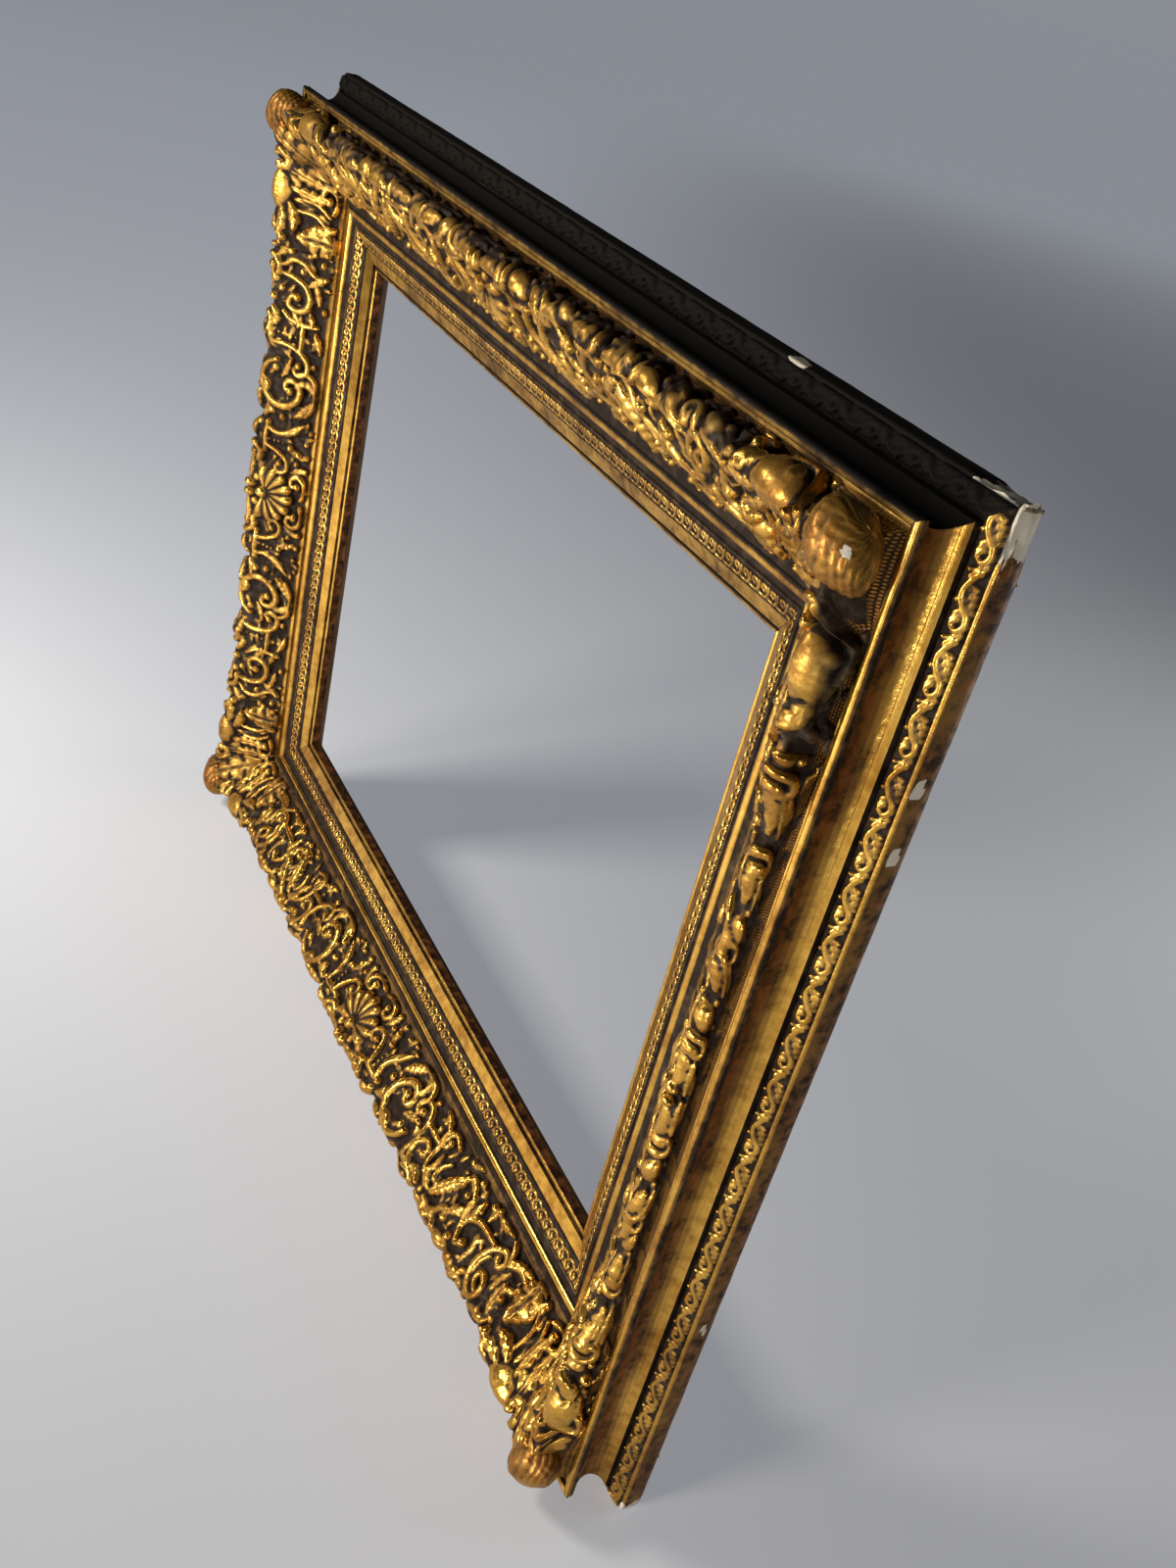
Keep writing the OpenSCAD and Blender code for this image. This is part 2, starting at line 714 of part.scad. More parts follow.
corner_key(TOP);  // corner_key_top_right
corner_key(RIGHT);  // corner_key_bottom_right
corner_key(BOTTOM);  // corner_key_bottom_left
corner_key(LEFT);  // corner_key_top_left
turn_button(TOP, button_places(TOP)[0]);  // turn_button_top_a
turn_button(TOP, button_places(TOP)[1]);  // turn_button_top_b
turn_button(RIGHT, 0);  // turn_button_right
turn_button(BOTTOM, button_places(BOTTOM)[0]);  // turn_button_bottom_a
turn_button(BOTTOM, button_places(BOTTOM)[1]);  // turn_button_bottom_b
turn_button(LEFT, 0);  // turn_button_left
button_screws();
screw_eye(LEFT);  // screw_eye_left
screw_eye(RIGHT);  // screw_eye_right
hanging_ring(LEFT);  // hanging_ring_left
hanging_ring(RIGHT);  // hanging_ring_right
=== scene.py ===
"""Gilded picture frame: the dressed model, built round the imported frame.

Lengths are in millimetres in a member's own plan until a mesh is placed: s runs along the
member, o outward from the sight edge and h forward from the wall.
"""

from __future__ import annotations

import json
import logging
import math
from collections.abc import Callable, Iterable, Sequence
from dataclasses import dataclass, field
from enum import Enum

import bpy
import numpy as np
from mathutils import Matrix, Vector

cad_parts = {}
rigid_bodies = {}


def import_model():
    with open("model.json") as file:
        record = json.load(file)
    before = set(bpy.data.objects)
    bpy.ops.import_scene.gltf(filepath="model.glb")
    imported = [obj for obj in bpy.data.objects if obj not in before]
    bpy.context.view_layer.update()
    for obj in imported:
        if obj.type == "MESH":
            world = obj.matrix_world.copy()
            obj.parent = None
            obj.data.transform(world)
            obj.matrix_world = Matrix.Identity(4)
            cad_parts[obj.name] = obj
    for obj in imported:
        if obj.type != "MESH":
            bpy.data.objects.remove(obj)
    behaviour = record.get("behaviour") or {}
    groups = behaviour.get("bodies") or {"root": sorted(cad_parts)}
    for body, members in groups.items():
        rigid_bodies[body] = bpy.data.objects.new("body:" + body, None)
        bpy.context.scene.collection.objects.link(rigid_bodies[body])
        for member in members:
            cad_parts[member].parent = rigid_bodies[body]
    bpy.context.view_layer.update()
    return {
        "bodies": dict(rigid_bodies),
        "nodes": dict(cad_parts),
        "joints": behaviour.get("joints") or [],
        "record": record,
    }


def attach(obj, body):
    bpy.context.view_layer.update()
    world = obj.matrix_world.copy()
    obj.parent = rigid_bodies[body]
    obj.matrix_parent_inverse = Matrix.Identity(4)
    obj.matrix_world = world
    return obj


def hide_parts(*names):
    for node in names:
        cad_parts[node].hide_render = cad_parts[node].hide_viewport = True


LOG = logging.getLogger("picture_frame")
MM = 0.001
Colour = tuple[float, float, float]
Point = tuple[float, float]


# Sizes and placing


@dataclass(frozen=True)
class Section:
    """Lines of the frame's section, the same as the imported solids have."""

    sight_w: float = 600.0
    sight_h: float = 444.0
    hang_drop: float = 318.912
    seat_back: float = 11.5
    lip_h: float = 17.5
    slip_w: float = 13.5
    slip_top: float = 24.0
    speck_o: float = 28.5
    speck_h: float = 30.0
    torus_o: float = 36.6
    torus_h: float = 31.5
    torus_r: float = 3.6
    sand_o: float = 39.912
    sand_h: float = 34.56
    sand_end: float = 45.912
    bed_o: float = 48.712
    bed_h: float = 36.06
    bed_run: float = 54.5
    bed_rise: float = 18.5
    fillet_top: float = 56.56
    fillet_w: float = 2.2
    edge_r: float = 2.6
    edge_o: float = 110.612
    wall_o: float = 110.222
    cove_o: float = 117.612
    cove_h: float = 41.624
    cove_r: float = 14.0
    seat_h: float = 23.5
    block_o: float = 34.0
    button_room: float = 4.5
    rail_in: float = 83.612
    rail_gap_o: float = 111.812
    rail_out: float = 123.212
    rail_front_h: float = 27.5
    rail_nose_r: float = 2.0
    rail_fall: float = 5.6
    rail_round: float = 13.0

    @property
    def fillet_o(self) -> float:
        """Outer edge of the ornament bed."""
        return self.bed_o + self.bed_run

    def bed(self, o: np.ndarray) -> np.ndarray:
        """Height of the bed's plane: a straight slope through its inner edge."""
        return self.bed_h + (o - self.bed_o) * (self.bed_rise / self.bed_run)


SECTION = Section()


class Bank:
    """Rounded bank of cast ground that carries the ornament over the bed.

    It climbs from the sight side to a crest near its outer edge and falls steeply there. Motifs
    are laid out by the length along its surface, scaled so that the crest is at crest_laid.
    """

    knots_o = (46.0, 50.0, 54.0, 62.0, 70.0, 78.0, 86.5, 91.0, 93.2, 94.8, 96.2, 97.6, 108.0)
    knots_rise = (0.0, 0.3, 3.0, 8.6, 13.2, 17.2, 20.0, 21.0, 19.6, 14.4, 6.0, 0.0, 0.0)
    crest_o = 91.0
    crest_laid = 103.0
    samples = 497
    softening = 25
    lean_out = 0.42

    def __init__(self) -> None:
        """Tabulates the smoothed profile, its slope and the length along it."""
        self.o = np.linspace(self.knots_o[0], self.knots_o[-1], self.samples)
        kernel = np.hanning(self.softening)
        rough = np.interp(self.o, self.knots_o, self.knots_rise)
        raw = np.pad(rough, self.softening // 2, mode="edge")
        self.rise = np.convolve(raw, kernel / kernel.sum(), mode="valid")
        height = SECTION.bed(self.o) + self.rise
        self.slope = np.gradient(height, self.o)
        length = np.cumsum(np.hypot(np.gradient(self.o), np.gradient(height)))
        start, crest = np.interp((SECTION.bed_o, self.crest_o), self.o, length)
        share = (length - start) / (crest - start)
        self.laid = SECTION.bed_o + share * (self.crest_laid - SECTION.bed_o)

    def over(self, o: np.ndarray) -> np.ndarray:
        """Height of the bank over the bed."""
        return np.interp(o, self.o, self.rise)

    def lay(self, o: np.ndarray) -> np.ndarray:
        """Layout coordinate of an outward place."""
        return np.interp(o, self.o, self.laid)

    def normal(self, o: np.ndarray) -> tuple[np.ndarray, np.ndarray]:
        """Outward and forward parts of the way that relief stands out.

        It is the surface's normal, leant outward toward the crest where it isn't steep yet.

        Args:
            o: Outward places.

        Returns:
            The sine and the cosine of its angle.
        """
        steep = np.arctan(-np.interp(o, self.o, self.slope))
        steep = steep + self.lean_out * ease(o, 70.0, 88.0) * (1 - ease(steep, 0.5, 1.1))
        return np.sin(steep), np.cos(steep)

    def columns(self, inner: float, outer: float, step: float) -> np.ndarray:
        """Outward places that lie evenly along the surface."""
        low, high = self.lay(np.array([inner, outer]))
        return np.interp(np.linspace(low, high, int((high - low) / step)), self.laid, self.o)


BANK = Bank()


class Side(Enum):
    """The four members, clockwise from the front."""

    TOP = 0
    RIGHT = 1
    BOTTOM = 2
    LEFT = 3

    @property
    def label(self) -> str:
        """Name used in node and piece names."""
        return self.name.lower()

    @property
    def half(self) -> float:
        """Half of the sight edge that this member runs along."""
        return (SECTION.sight_w if self.value % 2 == 0 else SECTION.sight_h) / 2

    def place(self, s: np.ndarray, o: np.ndarray, h: np.ndarray) -> np.ndarray:
        """Points of the row frame, in metres, for plan points of this member.

        Args:
            s: Places along the member.
            o: Places outward from the sight edge.
            h: Heights over the wall.

        Returns:
            An array of x, y, z rows: the plan is turned a quarter for each side.
        """
        half_w, half_h = SECTION.sight_w / 2, SECTION.sight_h / 2
        x, z = {
            Side.TOP: (s, half_h + o),
            Side.RIGHT: (half_w + o, -s),
            Side.BOTTOM: (-s, -half_h - o),
            Side.LEFT: (-half_w - o, s),
        }[self]
        points = np.stack([x, -h, z - SECTION.hang_drop], axis=-1)
        return points.reshape(-1, 3) * MM


@dataclass(frozen=True)
class Corner:
    """One corner: its name and the signs of X and Z that lead to it."""

    label: str
    sign_x: int
    sign_z: int

    def place(self, a: np.ndarray, b: np.ndarray, h: np.ndarray) -> np.ndarray:
        """Points of the row frame for distances a and b past the sight corner.

        Args:
            a: Distance outward along X from the sight corner.
            b: Distance outward along Z from the sight corner.
            h: Heights over the wall.

        Returns:
            An array of x, y, z rows in metres.
        """
        x = self.sign_x * (SECTION.sight_w / 2 + a)
        z = self.sign_z * (SECTION.sight_h / 2 + b) - SECTION.hang_drop
        return np.stack([x, -h, z], axis=-1).reshape(-1, 3) * MM


CORNERS = (
    Corner("top_right", 1, 1),
    Corner("bottom_right", 1, -1),
    Corner("bottom_left", -1, -1),
    Corner("top_left", -1, 1),
)


# Meshes


@dataclass
class Skin:
    """Arrays of one mesh before it goes into Blender."""

    points: np.ndarray
    quads: np.ndarray
    plan: np.ndarray
    caps: list[np.ndarray] = field(default_factory=list)
    marks: dict[str, np.ndarray] = field(default_factory=dict)
    bare: np.ndarray | None = None

    def flipped(self) -> "Skin":
        """The same mesh with every face turned over."""
        self.quads = self.quads[:, ::-1]
        self.caps = [cap[::-1] for cap in self.caps]
        return self


CREASE = 40.0
NO_CREASE = 180.0


def make_piece(
    name: str, skin: Skin, finishes: Sequence[bpy.types.Material], crease: float
) -> bpy.types.Object:
    """Puts the arrays of a skin into a Blender object at the origin.

    Args:
        name: Name of the piece.
        skin: Its points, faces, plan coordinates and marks.
        finishes: The materials: the second one, if any, is for bare faces.
        crease: Edges sharper than this many degrees stay sharp.

    Returns:
        The new object.
    """
    mesh = bpy.data.meshes.new(name)
    loops = np.concatenate([skin.quads.ravel(), *skin.caps]).astype(np.int32)
    sizes = np.array([4] * len(skin.quads) + [len(c) for c in skin.caps], dtype=np.int32)
    starts = np.concatenate([[0], np.cumsum(sizes)[:-1]]).astype(np.int32)
    mesh.vertices.add(len(skin.points))
    mesh.vertices.foreach_set("co", skin.points.astype(np.float32).ravel())
    mesh.loops.add(len(loops))
    mesh.loops.foreach_set("vertex_index", loops)
    mesh.polygons.add(len(sizes))
    mesh.polygons.foreach_set("loop_start", starts)
    if skin.bare is not None:
        slots = np.concatenate([skin.bare, np.full(len(skin.caps), 1)]).astype(np.int32)
        mesh.polygons.foreach_set("material_index", slots)
    mesh.update(calc_edges=True)
    mesh.validate()
    mesh.polygons.foreach_set("use_smooth", np.ones(len(mesh.polygons), dtype=bool))
    layer = mesh.uv_layers.new(name="plan")
    layer.data.foreach_set("uv", (skin.plan[loops] * MM).astype(np.float32).ravel())
    for label, values in skin.marks.items():
        mark = mesh.attributes.new(label, "FLOAT", "POINT")
        mark.data.foreach_set("value", values.astype(np.float32).ravel())
    for finish in finishes:
        mesh.materials.append(finish)
    mesh.set_sharp_from_angle(angle=math.radians(crease))
    piece = bpy.data.objects.new(name, mesh)
    bpy.context.scene.collection.objects.link(piece)
    return piece


def dress(
    node: str,
    ending: str,
    skin: Skin,
    finishes: Sequence[bpy.types.Material],
    slot: str,
    crease: float = NO_CREASE,
) -> bpy.types.Object:
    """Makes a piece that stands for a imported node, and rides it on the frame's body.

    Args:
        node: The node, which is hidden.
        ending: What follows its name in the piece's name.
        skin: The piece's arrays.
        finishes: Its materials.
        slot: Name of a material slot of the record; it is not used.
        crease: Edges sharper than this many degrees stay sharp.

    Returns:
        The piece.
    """
    piece = make_piece(f"{node}_{ending}", skin, finishes, crease)
    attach(piece, "frame_body")
    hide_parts(node)
    LOG.info("%s: %d faces", piece.name, len(piece.data.polygons))
    return piece


def grid_quads(rows: int, cols: int, wrap: bool = False) -> np.ndarray:
    """Faces of a grid whose points are numbered row by row.

    Args:
        rows: Number of rows.
        cols: Number of points in a row.
        wrap: Whether each row closes on itself.

    Returns:
        An array of four point numbers a face, turning from the row into the column.
    """
    across = cols if wrap else cols - 1
    i, j = np.meshgrid(np.arange(rows - 1), np.arange(across), indexing="ij")
    k = (j + 1) % cols
    corners = [i * cols + j, i * cols + k, (i + 1) * cols + k, (i + 1) * cols + j]
    return np.stack(corners, axis=-1).reshape(-1, 4)


def waver(s: np.ndarray, w: np.ndarray, seed: int, size: float, wave: float) -> np.ndarray:
    """Slow unevenness of hand work: a sum of sines of seeded direction and phase.

    Args:
        s: First coordinate.
        w: Second coordinate.
        seed: Seed of the draw.
        size: Height of the unevenness.
        wave: Shortest wave length.

    Returns:
        An array like s.
    """
    draw = np.random.default_rng(seed)
    total = np.zeros(np.broadcast(s, w).shape)
    for step in range(6):
        turn, phase = draw.uniform(0, 2 * math.pi, 2)
        pace = 2 * math.pi / (wave * 1.45**step)
        total = total + np.sin(pace * (s * math.cos(turn) + w * math.sin(turn)) + phase)
    return total * size / 3


SHADER_MARKS = ("wear", "rub", "grit", "net", "edge", "chalk")


def shader_marks(like: np.ndarray, **given: np.ndarray | float) -> dict[str, np.ndarray]:
    """Every mark that the gilding reads, in the shape of an array: 0 where none is given."""
    return {name: np.zeros(like.shape) + given.get(name, 0.0) for name in SHADER_MARKS}


def paint_shade(marks: dict[str, np.ndarray], share: np.ndarray) -> None:
    """Dims the wear and rub marks by a share of painted shade: full painted shade takes wear below 0,
    where the gilding is painted near black.
    """
    marks["wear"] = marks["wear"] * (1 - 0.86 * share) - 0.4 * ease(share, 0.85, 1.0)
    marks["rub"] = marks["rub"] * (1 - 0.7 * share)


def ease(value: np.ndarray, low: float, high: float) -> np.ndarray:
    """Smooth step: 0 below low, 1 above high, and 3t squared less 2t cubed between."""
    share = np.clip((value - low) / (high - low), 0.0, 1.0)
    return share * share * (3 - 2 * share)


# Shader bench


class Wire:
    """A number or colour socket that takes part in Python expressions."""

    def __init__(self, bench: "Bench", socket: bpy.types.NodeSocket) -> None:
        """Keeps the socket and the bench it belongs to."""
        self.bench = bench
        self.socket = socket

    def _math(self, kind: str, first: "Value", second: "Value" = 0.0) -> "Wire":
        """One Math node on two values."""
        return self.bench.add("ShaderNodeMath", {"operation": kind}, {0: first, 1: second})

    def __add__(self, other: "Value") -> "Wire":
        """Sum."""
        return self._math("ADD", self, other)

    def __radd__(self, other: "Value") -> "Wire":
        """Sum with a number in front."""
        return self._math("ADD", other, self)

    def __sub__(self, other: "Value") -> "Wire":
        """Difference."""
        return self._math("SUBTRACT", self, other)

    def __rsub__(self, other: "Value") -> "Wire":
        """Difference with a number in front."""
        return self._math("SUBTRACT", other, self)

    def __mul__(self, other: "Value") -> "Wire":
        """Product."""
        return self._math("MULTIPLY", self, other)

    def __rmul__(self, other: "Value") -> "Wire":
        """Product with a number in front."""
        return self._math("MULTIPLY", other, self)

    def __truediv__(self, other: "Value") -> "Wire":
        """Quotient."""
        return self._math("DIVIDE", self, other)

    def floor(self) -> "Wire":
        """Whole part."""
        return self._math("FLOOR", self)

    def fraction(self) -> "Wire":
        """Part behind the point."""
        return self._math("FRACT", self)

    def ease(self, low: float, high: float) -> "Wire":
        """Smooth step from 0 at low to 1 at high."""
        return self.bench.add(
            "ShaderNodeMapRange", {"interpolation_type": "SMOOTHSTEP"}, {0: self, 1: low, 2: high}
        )


Value = Wire | float


class Bench:
    """Builds the nodes of a material or the world, with one method for every kind of node."""

    def __init__(
        self,
        owner: bpy.types.Material | bpy.types.World,
        shader: str = "ShaderNodeBsdfPrincipled",
        end: str = "ShaderNodeOutputMaterial",
    ) -> None:
        """Empties the owner's nodes and joins one shader to its output.

        Args:
            owner: The material or world.
            shader: Type of its shader node.
            end: Type of its output node.
        """
        owner.use_nodes = True
        self.owner = owner
        self.tree = owner.node_tree
        self.tree.nodes.clear()
        self.skin = self.tree.nodes.new(shader)
        out = self.tree.nodes.new(end)
        self.tree.links.new(self.skin.outputs[0], out.inputs[0])

    def finish(self, sockets: dict[object, object]) -> bpy.types.Material | bpy.types.World:
        """Feeds the shader's sockets and hands back the material or world."""
        self.feed(self.skin, sockets)
        return self.owner

    def add(
        self, kind: str, settings: dict[str, object], inputs: dict[object, object], output: int = 0
    ) -> Wire:
        """Adds a node.

        Args:
            kind: The node's type.
            settings: Its settings, set first.
            inputs: Values or wires for its sockets, by name or number.
            output: Number of the output that is handed back.

        Returns:
            The wire of that output.
        """
        node = self.tree.nodes.new(kind)
        for key, value in settings.items():
            setattr(node, key, value)
        self.feed(node, inputs)
        return Wire(self, node.outputs[output])

    def feed(self, node: bpy.types.Node, inputs: dict[object, object]) -> None:
        """Sets or links the named sockets of a node."""
        for key, value in inputs.items():
            if isinstance(value, Wire):
                self.tree.links.new(value.socket, node.inputs[key])
            else:
                node.inputs[key].default_value = value

    def mark(self, name: str) -> Wire:
        """The value of a mesh attribute."""
        return self.add("ShaderNodeAttribute", {"attribute_name": name}, {}, 2)

    def place(self) -> Wire:
        """Object coordinates."""
        return self.add("ShaderNodeTexCoord", {}, {}, 3)

    def part(self, vector: Wire, axis: int) -> Wire:
        """One coordinate of a vector: 0 is x, 1 is y and 2 is z."""
        return self.add("ShaderNodeSeparateXYZ", {}, {0: vector}, axis)

    def noise(self, place: Wire, scale: float, detail: float = 4.0, rough: float = 0.55) -> Wire:
        """Noise between 0 and 1, with about scale features to a metre."""
        sizes = {"Vector": place, "Scale": scale, "Detail": detail, "Roughness": rough}
        return self.add("ShaderNodeTexNoise", {}, sizes)

    def stretched(self, place: Wire, scale: Colour) -> Wire:
        """Coordinates multiplied by a different number along each axis."""
        return self.add("ShaderNodeMapping", {}, {"Vector": place, "Scale": scale})

    def blend(self, share: Value, first: object, second: object) -> Wire:
        """Colour between two colours."""
        ends = {0: share, 6: rgba(first), 7: rgba(second)}
        return self.add("ShaderNodeMix", {"data_type": "RGBA"}, ends, 2)

    def bump(self, height: Wire, depth: float) -> Wire:
        """Normal bent by a height, where 1 is depth metres."""
        return self.add("ShaderNodeBump", {}, {"Height": height, "Distance": depth})


def rgba(colour: object) -> object:
    """A colour with its alpha, or the wire as it is."""
    return colour if isinstance(colour, Wire) else (*colour, 1.0)


@dataclass(frozen=True)
class Gilding:
    """Old gold leaf over red bole and gesso, toned with umber in its hollows."""

    name: str
    bright: Colour = (0.85, 0.505, 0.105)
    deep: Colour = (0.42, 0.19, 0.028)
    umber: Colour = (0.014, 0.007, 0.0035)
    bole: Colour = (0.30, 0.10, 0.02)
    chalk: Colour = (0.66, 0.61, 0.52)
    dust: Colour = (0.046, 0.031, 0.020)
    # Colour of the painted shade.
    black: Colour = (0.004, 0.003, 0.002)
    gloss: float = 0.23
    matt: float = 0.62
    cloud: float = 22.0
    blotch: float = 130.0
    chisel: float = 330.0
    fleck: float = 850.0
    grain: float = 1500.0
    flaking: float = 75.0
    stitch: float = 1.7
    stitch_row: float = 1.45

    def build(self) -> bpy.types.Material:
        """Makes the material: wear, grit, net, rub, edge and chalk marks steer it.

        The leaf shows where wear and noise are high, umber and dust lie where they are low, the
        bole shows where rub is high, and the chalk where edge or chalk beat their noise. Wear below
        0 is painted shade, which turns the surface a dull near black.

        Returns:
            The material.
        """
        bench = Bench(bpy.data.materials.new(self.name))
        at = bench.place()
        wear, rub, edge = bench.mark("wear"), bench.mark("rub"), bench.mark("edge")
        grit, net, chalk = bench.mark("grit"), bench.mark("net"), bench.mark("chalk")
        slow, mid = bench.noise(at, self.cloud, 3.0), bench.noise(at, self.blotch, 5.0, 0.6)
        fine = bench.noise(at, self.fleck, 3.0, 0.6)
        grain = bench.noise(at, self.grain, 2.0, 0.5)
        clean = (wear + (mid - 0.5) * 0.50 + (slow - 0.5) * 0.50 - grit * 0.12).ease(0.24, 0.80)
        leaf = bench.blend((slow * 0.6 + mid * 0.7).ease(0.42, 0.86), self.deep, self.bright)
        tone = bench.blend(clean, self.umber, leaf)
        stitches = self._net(bench)
        tone = bench.blend(net * stitches * 0.75, tone, self.deep)
        dusty = (1.0 - clean) * mid.ease(0.44, 0.66) * 0.75 * (1.0 - net * 0.6)
        # Painted shade: wear below 0 turns the leaf a dull near black.
        painted_shade = 1.0 - (wear * 2.5 + 1.0).ease(0.0, 0.9)
        dusty = dusty * (1.0 - painted_shade)
        tone = bench.blend(dusty, tone, self.dust)
        red = (rub * 0.75 + wear * 0.22 + (mid - 0.5) * 0.9 + (fine - 0.5) * 0.5).ease(0.34, 0.72)
        tone = bench.blend(red * 0.82, tone, self.bole)
        tone = bench.blend(painted_shade, tone, self.black)
        flaw = bench.noise(at, self.flaking, 6.0, 0.68) - 0.5
        bare = (edge * 0.55 + chalk * 1.6 + flaw * 2.1).ease(0.86, 0.93)
        tone = bench.blend(bare, tone, self.chalk)
        polish = (1.0 - clean) * red
        metal = (clean * 0.80 + polish * 0.5 + 0.16) * (1.0 - bare)
        metal = metal * (1.0 - dusty * 0.8) * (1.0 - painted_shade)
        rough = self.matt - clean * (self.matt - self.gloss) - polish * 0.16 + (fine - 0.5) * 0.20
        rough = rough + bare * 0.3 + grit * 0.1 + painted_shade * 0.25
        chisel = bench.noise(at, self.chisel, 3.0, 0.6)
        height = fine * 0.07 + mid * 0.16 + chisel * 0.30 * (rub * 2.0).ease(0.2, 0.5)
        height = height + grain * grit * 0.34 + stitches * net * 0.6
        sockets = {
            "Base Color": tone,
            "Metallic": metal,
            "Roughness": rough,
            "Specular IOR Level": 0.2,
            "Normal": bench.bump(height - bare * 0.4, MM),
        }
        return bench.finish(sockets)

    def _net(self, bench: Bench) -> Wire:
        """Height of the net ground: round stitches in rows, each row shifted by half a stitch."""
        plan = bench.add("ShaderNodeTexCoord", {}, {}, 2)
        along = bench.part(plan, 0) / (self.stitch * MM)
        across = bench.part(plan, 1) / (self.stitch_row * MM)
        shifted = along + (across.floor() * 0.5)
        dx, dy = shifted.fraction() - 0.5, across.fraction() - 0.5
        return 1.0 - (dx * dx + dy * dy).ease(0.03, 0.23)


@dataclass(frozen=True)
class BareWood:
    """Old softwood of the frame's back, stained brown with age."""

    name: str
    pale: Colour = (0.23, 0.135, 0.065)
    dark: Colour = (0.085, 0.045, 0.02)
    grain_along: Colour = (9.0, 120.0, 120.0)

    def build(self) -> bpy.types.Material:
        """Makes the material: streaks and fibres are noise stretched along the grain.

        Returns:
            The material.
        """
        bench = Bench(bpy.data.materials.new(self.name))
        long_way = bench.stretched(bench.place(), self.grain_along)
        streak = bench.noise(long_way, 1.0, 5.0, 0.62)
        fibre = bench.noise(long_way, 6.0, 3.0, 0.7)
        blotch = bench.noise(bench.place(), 14.0, 3.0)
        tone = bench.blend((streak * 0.8 + fibre * 0.3).ease(0.40, 0.72), self.dark, self.pale)
        tone = bench.blend(blotch.ease(0.52, 0.72) * 0.6, tone, self.dark)
        sockets = {
            "Base Color": tone,
            "Roughness": 0.66 + (fibre - 0.5) * 0.25,
            "Normal": bench.bump(streak * 0.35 + fibre * 0.25, MM),
        }
        return bench.finish(sockets)


@dataclass(frozen=True)
class OldMetal:
    """Brass or steel of the small fittings, tarnished in patches."""

    name: str
    clean: Colour
    tarnish: Colour
    gloss: float = 0.34

    def build(self) -> bpy.types.Material:
        """Makes the material.

        Returns:
            The material.
        """
        bench = Bench(bpy.data.materials.new(self.name))
        at = bench.place()
        patch = (bench.noise(at, 260.0, 5.0, 0.65) * 0.7 + bench.noise(at, 60.0) * 0.3).ease(0.42, 0.62)
        scratch = bench.noise(bench.stretched(at, (3000.0, 160.0, 900.0)), 1.0, 2.0)
        sockets = {
            "Base Color": bench.blend(patch, self.clean, self.tarnish),
            "Metallic": 0.96 - patch * 0.4,
            "Roughness": self.gloss + patch * 0.28 + (scratch - 0.5) * 0.14,
            "Normal": bench.bump(scratch * 0.04 + patch * 0.06, MM),
        }
        return bench.finish(sockets)


@dataclass(frozen=True)
class FloorPaint:
    """Plain pale blue-grey floor, paler to the leaf than to the camera.

    To the camera it glows with painted light, stronger toward the front and left; it has painted shade at
    the foot of the key lamp, and takes the horizon's tone far off.
    """

    name: str
    tone: Colour = (0.60, 0.62, 0.665)
    # Colour of the painted shade at the key lamp's foot.
    shade: Colour = (0.07, 0.073, 0.08)
    mirrored: Colour = (0.86, 0.87, 0.88)
    # Tone of the painted light that the camera sees the floor glow with.
    lift: Colour = (0.27, 0.285, 0.32)
    horizon: Colour = (0.235, 0.25, 0.28)
    floor_painted_shade_at: Point = (0.30, -1.45)

    def build(self) -> bpy.types.Material:
        """Makes the material.

        Returns:
            The material.
        """
        bench = Bench(bpy.data.materials.new(self.name))
        at = bench.place()
        seen = bench.add("ShaderNodeLightPath", {}, {}, 0)
        east, north = bench.part(at, 0), bench.part(at, 1)
        # Painted light: to the camera the floor glows, more toward the front and left.
        near = 1.0 - (east * 0.5 + north * 0.8).ease(-0.9, 1.1)
        # Painted shade at the foot of the key lamp.
        off_x, off_y = east - self.floor_painted_shade_at[0], north - self.floor_painted_shade_at[1]
        floor_painted_shade = 1.0 - (off_x * off_x + off_y * off_y).ease(0.1, 2.2)
        shown = bench.blend(floor_painted_shade * 0.9, self.tone, self.shade)
        far = (east * east + north * north).ease(3.0, 60.0)
        painted_light = bench.blend(near * 0.6 + 0.4, (0.0, 0.0, 0.0), self.lift)
        painted_light = bench.blend(far, painted_light, self.horizon)
        sockets = {
            "Base Color": bench.blend(seen, self.mirrored, shown),
            "Roughness": 0.75,
            "Emission Color": bench.blend(seen, (0.0, 0.0, 0.0), painted_light),
            "Emission Strength": 1.0,
        }
        return bench.finish(sockets)


